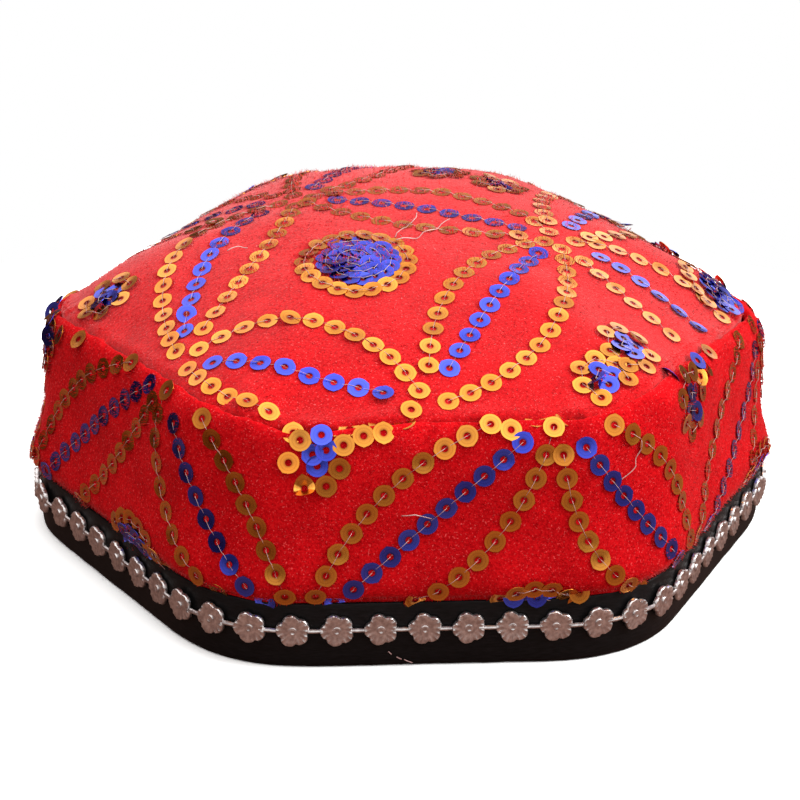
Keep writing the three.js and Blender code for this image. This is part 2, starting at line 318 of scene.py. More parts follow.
def rim_line():
    """The rounded hexagon from the middle of the front round to it again: places and distances."""
    front = (0.0, -CORNER_REACH * math.cos(HALF_TURN))
    corners = [front]
    for degrees, radius in CORNERS:
        facing = math.radians(degrees)
        reach = CORNER_REACH - radius / math.cos(HALF_TURN)
        for step in np.linspace(-HALF_TURN, HALF_TURN, ARC_STEPS):
            corners.append(
                (
                    reach * math.cos(facing) + radius * math.cos(facing + step),
                    reach * math.sin(facing) + radius * math.sin(facing + step),
                )
            )
    corners = np.array(corners + [front])
    along = np.concatenate([[0], np.cumsum(np.hypot(*np.diff(corners, axis=0).T))])
    even = np.linspace(0, along[-1], int(along[-1] / LINE_STEP))
    across, deep = np.interp(even, along, corners[:, 0]), np.interp(even, along, corners[:, 1])
    return np.stack([across, deep], 1), along[-1]


RIM_POINTS, RIM_LENGTH = rim_line()


def on_rim(distance):
    """The place on the chain line at a distance from the front, and the outward direction there."""
    count = len(RIM_POINTS) - 1
    share = (distance / RIM_LENGTH % 1) * count
    first = int(share)
    a, b = RIM_POINTS[first], RIM_POINTS[(first + 1) % count]
    place = a + (b - a) * (share - first)
    before, after = RIM_POINTS[(first - 2) % count], RIM_POINTS[(first + 3) % count]
    along = (after - before) / np.linalg.norm(after - before)
    return place, np.array([along[1], -along[0]])


print("chain line:", round(RIM_LENGTH, 1), "mm round")

# %% Places measured from the line
ROWS_AT_ONCE = 2000  # places are compared with the line in parts of this many


def rim_chart(places):
    """For rows of places in mm: how far along the rim each lies, how far inside the line it is, and
    the outward direction there."""
    steps = np.gradient(RIM_POINTS, axis=0)
    outwards = np.stack([steps[:, 1], -steps[:, 0]], 1) / np.linalg.norm(steps, axis=1)[:, None]
    nearest = np.concatenate(
        [
            np.hypot(part[:, None, 0] - RIM_POINTS[:, 0], part[:, None, 1] - RIM_POINTS[:, 1]).argmin(1)
            for part in np.array_split(places, max(1, len(places) // ROWS_AT_ONCE))
        ]
    )
    outward = outwards[nearest]
    inside = ((RIM_POINTS[nearest] - places[:, :2]) * outward).sum(1)
    return nearest / (len(RIM_POINTS) - 1) * RIM_LENGTH, inside, outward


print("origin lies", rim_chart(np.zeros((1, 3)))[1].round(1), "mm inside the line")

# %% [markdown]
# ## Velvet top and wall
#
# Each velvet piece is a cloth wall with its seam allowance turned in. The construction model has
# its form in flat facets. It could be smoothed by shading alone, but the outline would stay angular,
# so a copy of each mesh is merged, turned back into four-sided faces and subdivided.

# %% Copies of the cloth pieces
SUBDIVISIONS = 2
MERGE_WITHIN = 0.02


def refined_copy(node, name):
    """A new piece with the form of a construction piece, in fine four-sided faces."""
    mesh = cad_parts[node].data.copy()
    mesh.name = name
    piece = bpy.data.objects.new(name, mesh)
    mesh.materials.clear()
    bpy.context.scene.collection.objects.link(piece)
    choose(piece)
    bpy.ops.object.mode_set(mode="EDIT")
    bpy.ops.mesh.select_all(action="SELECT")
    bpy.ops.mesh.remove_doubles(threshold=MERGE_WITHIN * MM)
    bpy.ops.mesh.tris_convert_to_quads()
    bpy.ops.object.mode_set(mode="OBJECT")
    modifier = piece.modifiers.new("fine", "SUBSURF")
    modifier.levels = modifier.render_levels = SUBDIVISIONS
    bpy.ops.object.modifier_apply(modifier=modifier.name)
    bpy.ops.object.shade_smooth()
    return piece


def positions(piece):
    """The points of a piece's mesh, as rows of x, y and z."""
    flat = np.empty(len(piece.data.vertices) * 3)
    piece.data.vertices.foreach_get("co", flat)
    return flat.reshape(-1, 3)


def move_points(piece, places):
    """Gives a piece's mesh these places for its points."""
    piece.data.vertices.foreach_set("co", np.ascontiguousarray(places).ravel())
    piece.data.update()


velvet_top = refined_copy("crown_top", "velvet_top")
velvet_wall = refined_copy("side_wall", "velvet_wall")
for piece in (velvet_top, velvet_wall):
    print(piece.name, len(piece.data.polygons), "faces")

# %% [markdown]
# The top and the wall meet in a sewn seam, with their edges turned in. It shows as a thin crease, and
# the stitches gather the cloth into small puckers. Both could be sculpted, but the seam runs all
# round the hat, so the points near it are moved by a rule: the top's edge bulges out and up against
# the wall's, and then both edges wave in and out.

# %% Crease and puckers at the seam
SEAM_INSET = 8.15  # from the chain line
SEAM_HEIGHT = 59.0
CREASE_CLOSING = 0.85  # how far the top's edge bulges out against the wall's
CREASE_RISE = 0.4
CREASE_REACH = 3.0
PUCKER_WIDTHS = (6.0, 2.8)
PUCKER_DEPTH = 1.9
PUCKER_REACH = 3.4  # the puckers fade away from the seam


def close_crease(piece):
    """Bulges the top's edge out against the wall's."""
    places = positions(piece) / MM
    _, inside, outward = rim_chart(places)
    near = np.exp(-((inside - SEAM_INSET) ** 2 + (places[:, 2] - SEAM_HEIGHT) ** 2) / CREASE_REACH**2)
    places[:, :2] += outward * (near * CREASE_CLOSING)[:, None]
    places[:, 2] += near * CREASE_RISE
    move_points(piece, places * MM)


def pucker_seam(piece, rises):
    """Moves the cloth near the seam: the wall's edge out and in, or an edge that rises up and down."""
    places = positions(piece) / MM
    along, inside, outward = rim_chart(places)
    near = np.exp(-np.hypot(inside - SEAM_INSET, places[:, 2] - SEAM_HEIGHT) / PUCKER_REACH)
    waves = [sum(noise.noise(Vector((a / width, width, 0))) for width in PUCKER_WIDTHS) for a in along]
    shift = np.array(waves) * near * PUCKER_DEPTH
    if rises:
        places[:, 2] += shift
    else:
        places[:, :2] += outward * shift[:, None]
    move_points(piece, places * MM)


close_crease(velvet_top)
pucker_seam(velvet_top, True)
pucker_seam(velvet_wall, False)
print("seam:", SEAM_HEIGHT, "mm up")

# %% [markdown]
# A soft hat is never quite even. The wall has a few large dents where it was held, which are listed
# one by one, and all of the cloth rises and falls a little, which soft noise of three widths gives.

# %% Dents and unevenness
DENTS = [  # along the rim, height, depth and width of soft hollows in the wall
    (-146, 34, 2.0, 9.0),
    (-136, 22, -0.8, 6.0),
    (146, 47, -0.8, 7.0),
    (146, 28, 0.9, 8.0),
]
UNEVENNESS = [  # how wide the soft hollows are, and how deep, in millimetres
    (22.0, 0.6),
    (8.0, 0.25),
    (2.8, 0.05),
]


def press_dents(piece, dents):
    """Presses soft hollows into the wall; a hollow with a negative depth is a bulge."""
    places = positions(piece) / MM
    along, _, outward = rim_chart(places)
    for where, height, depth, width in dents:
        aside = (along - where + RIM_LENGTH / 2) % RIM_LENGTH - RIM_LENGTH / 2
        share = np.exp(-(aside**2 + (places[:, 2] - height) ** 2) / width**2)
        places[:, :2] -= outward * (share * depth)[:, None]
    move_points(piece, places * MM)


def make_uneven(piece, table):
    """Moves the points along their normals by soft noise."""
    places = positions(piece)
    normals = np.empty(places.size)
    piece.data.vertex_normals.foreach_get("vector", normals)
    shifts = [sum(depth * noise.noise(Vector(p) / (width * MM)) for width, depth in table) for p in places]
    places += normals.reshape(-1, 3) * np.array(shifts)[:, None] * MM
    move_points(piece, places)


press_dents(velvet_wall, DENTS)
for piece in (velvet_top, velvet_wall):
    make_uneven(piece, UNEVENNESS)
print("dents:", len(DENTS))

# %% [markdown]
# Velvet is a cut pile. Seen from above it is deep red, and where the cloth turns away from the eye
# the tips of the pile catch the light and it goes pale and pinkish. The shader's sheen does that. It
# is stronger on the top, where the pile stands up, than on the wall, where it was stroked down.
# The pile was crushed in patches that take the light differently; these are painted shade, lighter
# and darker patches in the colour. Single bright hairs glint in it, and these glints are painted in too.

# %% Velvet finish
RAISED_SHEEN = {"Sheen Weight": 1.0, "Sheen Roughness": 0.45, "Sheen Tint": (1.0, 0.34, 0.34, 1)}
FLAT_SHEEN = {"Sheen Weight": 0.8, "Sheen Roughness": 0.28, "Sheen Tint": (1.0, 0.12, 0.12, 1)}
DULL_PILE = {"Roughness": 0.9, "Specular IOR Level": 0.03}
PILE_REDS = [
    (0.3, (0.46, 0.002, 0.005, 1)),
    (0.5, (0.66, 0.004, 0.008, 1)),
    (0.7, (0.80, 0.01, 0.014, 1)),
]
# painted shade: patches where the crushed pile takes less light are darker
PAINTED_PATCH_SHADE = [(0.35, (0.8, 0.8, 0.8, 1)), (0.65, (1, 1, 1, 1))]
# painted glints: sparse bright red spots put into the colour
PAINTED_GLINT_SHARES = [(0.63, (0, 0, 0, 1)), (0.8, (0.9, 0.9, 0.9, 1))]
PAINTED_GLINT_RED = (0.98, 0.13, 0.13, 1)
PILE_GRAIN = 1500.0
PAINTED_PATCH_GRAIN = 95.0
PAINTED_GLINT_GRAIN = 2300.0


def velvet_material(name, sheen):
    """Red cut pile: fine mottled colour, painted shade in patches, sparse painted glints, sheen, a fine bump.
    """
    material = new_material(name, {**DULL_PILE, **sheen})
    tree = material.node_tree
    pile = grain(tree, PILE_GRAIN, detail=3, roughness=0.6)
    # painted shade in patches, with painted glints over it
    painted_shading = ramp(tree, grain(tree, PAINTED_PATCH_GRAIN, detail=3), PAINTED_PATCH_SHADE)
    shaded = multiplied(tree, ramp(tree, pile, PILE_REDS), painted_shading)
    lit = add_node(tree, "ShaderNodeMix", {MIX_B: PAINTED_GLINT_RED}, data_type="RGBA")
    tree.links.new(ramp(tree, grain(tree, PAINTED_GLINT_GRAIN, detail=1), PAINTED_GLINT_SHARES), lit.inputs[0])
    tree.links.new(shaded, lit.inputs[MIX_A])
    paint(tree, lit.outputs[MIXED])
    raise_bumps(tree, pile, 0.6, 0.3)
    return material


def ready(piece, material, slot, *stands_for):
    """Dresses a finished piece and fixes it to the hat."""
    if material is not None:
        piece.data.materials.clear()
        piece.data.materials.append(material)
    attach(piece, "root")
    if stands_for:
        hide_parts(*stands_for)


ready(velvet_top, velvet_material("red velvet, pile up", RAISED_SHEEN), "velvet", "crown_top")
ready(velvet_wall, velvet_material("red velvet, pile down", FLAT_SHEEN), "velvet", "side_wall")
print("velvet:", [material.name for piece in (velvet_top, velvet_wall) for material in piece.data.materials])

# %% [markdown]
# ## Ribbon
#
# The black satin ribbon is folded over the lower edge of the wall. It pulls a little where it was
# stitched, so besides the form of the construction piece it gets long shallow ripples.

# %% Ribbon
RIBBON_RIPPLES = [  # how wide and how deep
    (16.0, 0.22),
    (5.0, 0.12),
]
SATIN_BLACKS = [(0.35, (0.001, 0.001, 0.001, 1)), (0.7, (0.007, 0.006, 0.007, 1))]
THREAD_GRAIN = 420.0
THREADS_LIE = (1, 1, 9)  # much finer from thread to thread than along them


def ribbon_material():
    """Black satin: fine threads along the ribbon, and a dull gloss."""
    material = new_material("black satin", {"Roughness": 0.5, "Specular IOR Level": 0.2})
    tree = material.node_tree
    threads = grain(tree, THREAD_GRAIN, detail=3, stretch=THREADS_LIE)
    paint(tree, ramp(tree, threads, SATIN_BLACKS))
    raise_bumps(tree, threads, 0.35, 0.1)
    return material


ribbon_rim = refined_copy("rim_band", "ribbon_rim")
make_uneven(ribbon_rim, RIBBON_RIPPLES)
lifted = positions(ribbon_rim)
lifted[:, 2] = np.maximum(lifted[:, 2], 0)
move_points(ribbon_rim, lifted)
ready(ribbon_rim, ribbon_material(), "ribbon", "rim_band")
print(ribbon_rim.name, len(ribbon_rim.data.polygons), "faces")

# %% [markdown]
# ## Flower chain
#
# The chain is cast metal: flat flowers with five round petals, ridges round the face and a small
# dimpled boss, and a short bar from each to the next. One flower is modelled from a circle of
# points: the outline is drawn in between the petals, the thickness is extruded, and insets give the
# rim, the ridges and the boss. It is then copied along the line.

# %% The flower's sizes
PETALS = 5
PETAL_CENTRE = 1.95
PETAL_RADIUS = 2.1
POINTS_A_PETAL = 12
FLOWER_BACK = -0.5
FLOWER_RINGS = [  # size against the outline, height, and whether the ridges rise there
    (1.0, 0.18, False),
    (0.95, 0.42, False),
    (0.87, 0.46, True),
    (0.70, 0.43, True),
    (0.54, 0.38, False),
]
BOSS_RINGS = [  # size against the outline, and height
    (0.27, 0.36),
    (0.25, 0.62),
    (0.15, 0.68),
    (0.06, 0.50),
]
RIDGE_HEIGHT = 0.17
RIDGE_SPACING = 4  # in points of the outline
NEAR = 0.01  # a point this close to a level lies on it


def petal_reach(turn):
    """How far the outline is from the flower's middle, a turn away from the middle of a petal."""
    return PETAL_CENTRE * math.cos(turn) + math.sqrt(PETAL_RADIUS**2 - (PETAL_CENTRE * math.sin(turn)) ** 2)


print("flower:", round(2 * petal_reach(0), 2), "mm across at the petals")

# %% One flower
def select_points(piece, wanted):
    """In edit mode, selects just the points for which wanted(point) is true."""
    bpy.ops.mesh.select_mode(type="VERT")
    bpy.ops.mesh.select_all(action="DESELECT")
    bpy.ops.object.mode_set(mode="OBJECT")
    for vertex in piece.data.vertices:
        vertex.select = bool(wanted(vertex.co))
    bpy.ops.object.mode_set(mode="EDIT")


def step_round(point):
    """Which of the outline's points this one lies in line with, counted from the petal at -X."""
    return round(math.atan2(point.y, -point.x) / (2 * math.pi / (PETALS * POINTS_A_PETAL)))


def model_flower():
    """One flower in mm, its middle at the origin, a petal along -X and its face towards +Z."""
    deselect_all()
    bpy.ops.mesh.primitive_circle_add(
        vertices=PETALS * POINTS_A_PETAL, radius=1, fill_type="NGON", location=(0, 0, FLOWER_BACK)
    )
    flower = bpy.context.object
    bpy.ops.object.transform_apply()
    bpy.ops.object.mode_set(mode="EDIT")
    for offset in range(POINTS_A_PETAL // 2 + 1):
        reach = petal_reach(offset * 2 * math.pi / (PETALS * POINTS_A_PETAL))
        ends = (offset, -offset % POINTS_A_PETAL)
        select_points(flower, lambda point: step_round(point) % POINTS_A_PETAL in ends)
        bpy.ops.transform.resize(value=(reach, reach, 1), center_override=(0, 0, 0))
    bpy.ops.mesh.select_all(action="SELECT")
    size, height = 1.0, FLOWER_BACK
    rings = [ring[:2] for ring in FLOWER_RINGS] + BOSS_RINGS
    for index, (new_size, new_height) in enumerate(rings):
        bpy.ops.mesh.extrude_region_move(TRANSFORM_OT_translate={"value": (0, 0, new_height - height)})
        bpy.ops.transform.resize(value=(new_size / size, new_size / size, 1), center_override=(0, 0, 0))
        if index == len(FLOWER_RINGS):
            bpy.ops.transform.tosphere(value=1)  # the boss is round
        size, height = new_size, new_height
    for _, level, ridged in FLOWER_RINGS:
        if ridged:
            select_points(flower, lambda p: abs(p.z - level) < NEAR and step_round(p) % RIDGE_SPACING == 0)
            bpy.ops.transform.translate(value=(0, 0, RIDGE_HEIGHT))
    bpy.ops.object.mode_set(mode="OBJECT")
    bpy.ops.object.shade_smooth()
    flower.name = "flower_pattern"
    return flower


flower = model_flower()
print(flower.name, len(flower.data.vertices), "points,", len(flower.data.polygons), "faces")

# %% One link
LINK_RADIUS = 0.44
LINK_LENGTH = 4.6
LINK_SIDES = 8
LINK_SWELL = 1.25


def model_link():
    """The bar between two flowers, along X, a little thicker at its middle."""
    deselect_all()
    bpy.ops.mesh.primitive_cylinder_add(
        vertices=LINK_SIDES, radius=LINK_RADIUS, depth=LINK_LENGTH, rotation=(0, math.pi / 2, 0)
    )
    link = bpy.context.object
    bpy.ops.object.transform_apply()
    bpy.ops.object.mode_set(mode="EDIT")
    bpy.ops.mesh.select_all(action="SELECT")
    bpy.ops.mesh.bisect(plane_co=(0, 0, 0), plane_no=(1, 0, 0))
    select_points(link, lambda point: abs(point.x) < NEAR)
    bpy.ops.transform.resize(value=(1, LINK_SWELL, LINK_SWELL), center_override=(0, 0, 0))
    bpy.ops.object.mode_set(mode="OBJECT")
    bpy.ops.object.shade_smooth()
    link.name = "link_pattern"
    return link


link = model_link()
print(link.name, len(link.data.vertices), "points,", len(link.data.polygons), "faces")

# %% [markdown]
# Many copies of one thing are quickest to make as arrays: the pattern's points are multiplied by a
# matrix for each place, and all of them go into one mesh. Each copy has its own points, so each can
# be tilted a little differently.

# %% Joined copies
SEED = 27
SHARP_ANGLE = math.radians(35)


def pattern_of(piece):
    """A pattern's points and faces, and the pattern is then deleted."""
    points = positions(piece)
    faces = [list(face.vertices) for face in piece.data.polygons]
    bpy.data.objects.remove(piece)
    return points, faces


def joined_copies(name, pattern, places, shades=None):
    """One object of a pattern copied to all these 4 by 4 matrices, with a shade for each copy, and
    with how far out each point lies on its copy, from 0 to 1."""
    points, faces = pattern
    full = np.hstack([points, np.ones((len(points), 1))])
    spots = np.einsum("kij,nj->kni", np.array(places), full)[..., :3]
    mesh = bpy.data.meshes.new(name)
    all_faces = [[corner + k * len(points) for corner in face] for k in range(len(places)) for face in faces]
    mesh.from_pydata(spots.reshape(-1, 3), [], all_faces)
    if shades is not None:
        shade = mesh.attributes.new("shade", "FLOAT", "POINT")
        shade.data.foreach_set("value", np.repeat(shades, len(points)).astype(np.float32))
        reach = np.hypot(points[:, 0], points[:, 1])
        across = mesh.attributes.new("across", "FLOAT", "POINT")
        across.data.foreach_set("value", np.tile(reach / reach.max(), len(places)).astype(np.float32))
    mesh.shade_smooth()
    mesh.set_sharp_from_angle(angle=SHARP_ANGLE)
    piece = bpy.data.objects.new(name, mesh)
    bpy.context.scene.collection.objects.link(piece)
    return piece


def unit(vector):
    """The same direction with length 1."""
    return np.asarray(vector, float) / np.linalg.norm(vector)


def unit_rows(rows):
    """Each row's direction with length 1."""
    return rows / np.linalg.norm(rows, axis=1)[:, None]


def frame_at(place, outward, along, turns=(0, 0, 0)):
    """A matrix from a pattern's mm to the hat, with its Z outward; turns are extra tilts in degrees
    about the line of the pattern's X, about its Y and about its Z."""
    z = unit(outward)
    y = unit(np.cross(z, along))
    axes = np.stack([np.cross(y, z), y, z], 1)
    for axis, turn in zip("XYZ", turns):
        axes = axes @ np.array(Matrix.Rotation(math.radians(turn), 3, axis))
    matrix = np.eye(4)
    matrix[:3, :3] = axes * MM
    matrix[:3, 3] = np.asarray(place) * MM
    return matrix


chance = np.random.default_rng(SEED)
print("copies are shaken with seed", SEED)

# %% The chain round the rim
FLOWERS = 57
FIRST_FLOWER = -2.0  # along the rim from the middle of the front
CHAIN_HEIGHT = 10.3
FLOWER_TILTS = (3.0, 3.0, 6.0)  # how much one flower may differ from the next, in degrees
LINK_PLACE = 0.45  # of the way from one flower to the next
METAL_TONES = [(0.35, (0.55, 0.52, 0.52, 1)), (0.65, (0.86, 0.83, 0.82, 1))]
METAL_ROUGHNESS = {"To Min": 0.22, "To Max": 0.42}
WEAR_GRAIN = 900.0


def rim_frame(distance, turns=(0, 0, 0)):
    """A matrix for a piece of the chain at a distance along the rim."""
    (x, y), (out_x, out_y) = on_rim(distance)
    return frame_at((x, y, CHAIN_HEIGHT), (out_x, out_y, 0), (-out_y, out_x, 0), turns)


def chain_metal():
    """Plated metal, softly worn, with darker and paler spots."""
    material = new_material("plated metal", {"Metallic": 1.0})
    tree = material.node_tree
    wear = grain(tree, WEAR_GRAIN, detail=3)
    paint(tree, ramp(tree, wear, METAL_TONES))
    rough = add_node(tree, "ShaderNodeMapRange", METAL_ROUGHNESS)
    tree.links.new(wear, rough.inputs["Value"])
    paint(tree, rough.outputs[0], "Roughness")
    return material


spacing = RIM_LENGTH / FLOWERS
flower_places = [
    rim_frame(FIRST_FLOWER + k * spacing, chance.uniform(-1, 1, 3) * FLOWER_TILTS) for k in range(FLOWERS)
]
link_places = [rim_frame(FIRST_FLOWER + (k + LINK_PLACE) * spacing) for k in range(FLOWERS)]
flower_chain = joined_copies("flower_chain", pattern_of(flower), flower_places)
links = joined_copies("links", pattern_of(link), link_places)
choose(flower_chain)
links.select_set(True)
bpy.ops.object.join()
ready(flower_chain, chain_metal(), "silver_trim", "flower_trim")
print("flower chain:", len(flower_chain.data.polygons), "faces")

# %% [markdown]
# ## Sequins
#
# The sequins are round foil discs of 5 mm with a small hole, sewn on in strings. On the top they
# draw a net of long leaves, each with a gold string on both sides and a blue rib, with a rosette or
# two small flowers in each gap. On the wall the same leaves stand in a zigzag.
#
# Each string is a curve between two knots of the net that bulges to one side, so a leaf is one row
# of a table. A place on the top is measured in plan. A place on the wall is a distance along the rim
# and a height. A ray from outside then finds where the cloth is, and which way it faces.

# %% The sequin itself
SEQUIN_SIDES = 24
SEQUIN_RADIUS = 2.5
HOLE_RADIUS = 0.8
CUP_DEPTH = 0.09
FOIL = 0.06
NIB = 0.22  # where the disc was cut from its strip


def model_sequin():
    """A cupped disc with a hole, in mm, its face towards +Z."""
    deselect_all()
    bpy.ops.mesh.primitive_circle_add(vertices=SEQUIN_SIDES, radius=SEQUIN_RADIUS, location=(0, 0, CUP_DEPTH))
    sequin = bpy.context.object
    bpy.ops.object.transform_apply()
    bpy.ops.object.mode_set(mode="EDIT")
    bpy.ops.mesh.select_all(action="SELECT")
    bpy.ops.mesh.extrude_region_move(TRANSFORM_OT_translate={"value": (0, 0, -CUP_DEPTH)})
    inward = HOLE_RADIUS / SEQUIN_RADIUS
    bpy.ops.transform.resize(value=(inward, inward, 1), center_override=(0, 0, 0))
    for side in (1, -1):
        select_points(sequin, lambda point: side * point.y > SEQUIN_RADIUS - NEAR)
        bpy.ops.transform.translate(value=(0, side * NIB, 0))
    bpy.ops.mesh.select_all(action="SELECT")
    bpy.ops.mesh.normals_make_consistent()
    bpy.ops.object.mode_set(mode="OBJECT")
    if sequin.data.polygons[0].normal.z < 0:
        sequin.data.flip_normals()
    wall = sequin.modifiers.new("foil", "SOLIDIFY")
    wall.thickness = FOIL
    wall.offset = -1
    bpy.ops.object.modifier_apply(modifier=wall.name)
    return pattern_of(sequin)


SEQUIN = model_sequin()
print("sequin:", len(SEQUIN[0]), "points,", len(SEQUIN[1]), "faces")

# %% Where the cloth is
ABOVE_TOP = 100.0  # a ray down onto the top starts at this height
BESIDE_WALL = 20.0  # and a ray into the wall this far outside the chain line
RAY_LENGTH = 80.0
TOP_FACING = 0.25  # cosine between a ray and the way the cloth faces, at the least
SIDE_FACING = 0.3
FEELER = 1.8  # how far round a place the cloth is felt for its mean slope


def cloth_tree(piece):
    """A search tree of a piece's faces."""
    points = positions(piece)
    return BVHTree.FromPolygons([Vector(p) for p in points], [list(f.vertices) for f in piece.data.polygons])


TOP_CLOTH, WALL_CLOTH, RIBBON_CLOTH = (cloth_tree(piece) for piece in (velvet_top, velvet_wall, ribbon_rim))


def first_hit(tree, start, heading, least_facing):
    """Where a ray from outside meets the cloth, in mm, if the cloth faces it enough there."""
    place, normal, _, distance = tree.ray_cast(Vector(start) * MM, Vector(heading), RAY_LENGTH * MM)
    if place is None or -normal.dot(Vector(heading)) < least_facing:
        return None
    return np.array(place) / MM, np.array(normal)


def on_top(x, y):
    """The cloth of the top above a place in plan."""
    return first_hit(TOP_CLOTH, (x, y, ABOVE_TOP), (0, 0, -1), TOP_FACING)


def on_side(tree, u, z):
    """The cloth of an upright piece at a distance along the rim and a height."""
    (x, y), (out_x, out_y) = on_rim(u)
    start = (x + out_x * BESIDE_WALL, y + out_y * BESIDE_WALL, z)
    return first_hit(tree, start, (-out_x, -out_y, 0), SIDE_FACING)


def on_wall(u, z):
    """The velvet of the wall at a distance along the rim and a height."""
    return on_side(WALL_CLOTH, u, z)


def on_ribbon(u, z):
    """The ribbon at a distance along the rim and a height."""
    return on_side(RIBBON_CLOTH, u, z)


def rest_place(spot, a, b):
    """Where a sequin rests on the cloth at a place of the chart, and the cloth's mean slope there."""
    middle = spot(a, b)
    if middle is None:
        return None
    around = [spot(a + FEELER * i, b + FEELER * j) for i, j in ((1, 0), (-1, 0), (0, 1), (0, -1))]
    normals = [hit[1] for hit in around if hit is not None]
    return middle[0], unit(middle[1] + sum(normals))


print("middle of the top:", on_top(0, 0)[0].round(1))

# %% [markdown]
# The pile was rubbed flat in places and stands up in others. A disc lies on flat pile and sinks into
# standing pile, and later more and longer hairs grow there, so the lie of the pile comes first.

# %% Where the pile stands up
RISES_FROM = -45  # on the top it stands up from this place backwards
RISES_OVER = 20  # so wide is the change
RISES_BETWEEN = (-55, 50)  # and only between these places from left to right
RISES_BESIDE = 12
CORNERS_FROM = 50  # on the wall it stands up this far out towards both corners
CORNER_PILE = 0.8


def rising(values, start, width):
    """From 0 at the start to 1 a width further on; a negative width goes the other way."""
    return np.clip((values - start) / width, 0, 1)


def raised(places):
    """Where the pile stands up, from 0 to 1: on the top from the middle backwards, and on the wall
    towards both corners. Elsewhere it is rubbed flat."""
    x, y, z = places[..., 0], places[..., 1], places[..., 2]
    left, right = RISES_BETWEEN
    behind = rising(y, RISES_FROM, RISES_OVER)
    between = rising(x, right, -RISES_BESIDE) * rising(x, left, RISES_BESIDE)
    aside = rising(np.abs(x), CORNERS_FROM, RISES_OVER)
    return np.where(z > SEAM_HEIGHT, behind * between, CORNER_PILE * aside)


print("pile at the middle of the top:", raised(on_top(0, 0)[0]))

# %% [markdown]
# A string starts as even places along a curve. Each place gets a disc that lies on the cloth, tilted
# as it overlaps the one before, and each is shaken a little, because no disc hangs like the next.

# %% Places along a curve
PITCH = 5.7  # along a string
CURVE_STEPS = 200


def curve_places(start, end, bulge, fullest, first, last, pitch):
    """Even places along a curve from start to end that bulges to its left, as chart places.
    fullest says where along it the bulge is greatest, from 0 to 1."""
    start, end = np.array(start, float), np.array(end, float)
    line = end - start
    left = unit((-line[1], line[0]))
    pull = start + fullest * line + 2 * bulge * left
    t = np.linspace(0, 1, CURVE_STEPS)[:, None]
    curve = (1 - t) ** 2 * start + 2 * t * (1 - t) * pull + t**2 * end
    along = np.concatenate([[0], np.cumsum(np.hypot(*np.diff(curve, axis=0).T))])
    count = max(1, round((along[-1] - first - last) / pitch)) + 1
    stops = np.linspace(first, along[-1] - last, count)
    return np.stack([np.interp(stops, along, curve[:, 0]), np.interp(stops, along, curve[:, 1])], 1)


print("a straight string of 20 mm has", len(curve_places((0, 0), (20, 0), 0, 0.5, 0, 0, PITCH)), "discs")

# %% Sewing a string
SEQUIN_LIFT = 0.30  # how far the pile holds a sequin's middle off the cloth
SUNK_LIFT = 0.12  # where the pile stands up, they sink into it
TILT_LIFT = 0.5  # a tilted disc is held up by this share of what its low side drops
EDGE_INSET = 10.2  # sequins of the top nearer to the rim than this went into the seam
LEAST_APART = 3.3
WALL_FLOOR = 15.5  # sequins lower than this are hidden by the ribbon
JOIN = RIM_LENGTH / 2 - 1.5  # the wall's ends meet at the back
OVERLAP_TILT = 2.0
LOOSE_TILT = 2.6
OVERLAP_LIFT = 0.22
HANG_TILT = 1.0  # on the wall the discs lean back a little on their threads
ODD_SHARE = 0.08  # of the discs, this share sits much more loosely
ODD_TILT = 4.0  # times as loose
MOST_SHAKE = 1.8  # times the looseness
ANY_TURN = 6.3  # a full turn, in radians
LONE_THREAD = (0.3, 0.2, 1)  # a disc with no neighbours has its thread across this
FAR = 99.0  # the gap to the next disc where there is none yet
HAIR_ROOT = 0.1  # the pile round a disc is rooted this deep

placed = {"gold": [], "blue": []}
strings = []


def sew(colour, spot, chart, tilt=OVERLAP_TILT, loose=LOOSE_TILT, apart=LEAST_APART):
    """Sews sequins of one colour at these chart places, as one string."""
    rests = []
    for a, b in chart:
        if spot is on_wall:
            outside = b < WALL_FLOOR or abs(a) > JOIN
        else:
            outside = rim_chart(np.array([(a, b, 0.0)]))[1][0] < EDGE_INSET
        rests.append(None if outside else rest_place(spot, a, b))
    string = []
    for index, rest in enumerate(rests):
        if rest is None:
            continue
        place, outward = rest
        others = [s["place"] for c in placed.values() for s in c]
        gaps = np.linalg.norm(np.array(others) - place, axis=1) if others else np.array([FAR])
        if gaps.min() < apart:
            continue
        near = [r for r in rests[max(0, index - 1) : index + 2] if r is not None]
        along = near[-1][0] - near[0][0] if len(near) > 1 else np.cross(outward, LONE_THREAD)
        lift = SEQUIN_LIFT + (SUNK_LIFT - SEQUIN_LIFT) * raised(place)
        lift += OVERLAP_LIFT if gaps.min() < 2 * SEQUIN_RADIUS else 0
        hang = HANG_TILT if spot is on_wall else 0
        outward = unit(outward + math.tan(math.radians(hang)) * np.array([0, 0, 1]))
        odd = ODD_TILT if chance.random() < ODD_SHARE * (1 - raised(place)) else 1
        shake = chance.normal(0, 1, 2).clip(-MOST_SHAKE, MOST_SHAKE) * loose * odd
        turns = (shake[0], -tilt + shake[1], 0)
        lift += TILT_LIFT * SEQUIN_RADIUS * math.sin(math.radians(np.abs(turns).max()))
        matrix = frame_at(place + outward * lift, outward, along, turns)
        matrix[:3, :3] = matrix[:3, :3] @ np.array(Matrix.Rotation(chance.uniform(0, ANY_TURN), 3, "Z"))
        sequin = {"place": place, "matrix": matrix, "outward": outward, "shade": chance.uniform(0, 1)}
        sequin["root"] = place - outward * HAIR_ROOT
        sequin["in_pile"] = True
        placed[colour].append(sequin)
        string.append(sequin)
    strings.append(string)
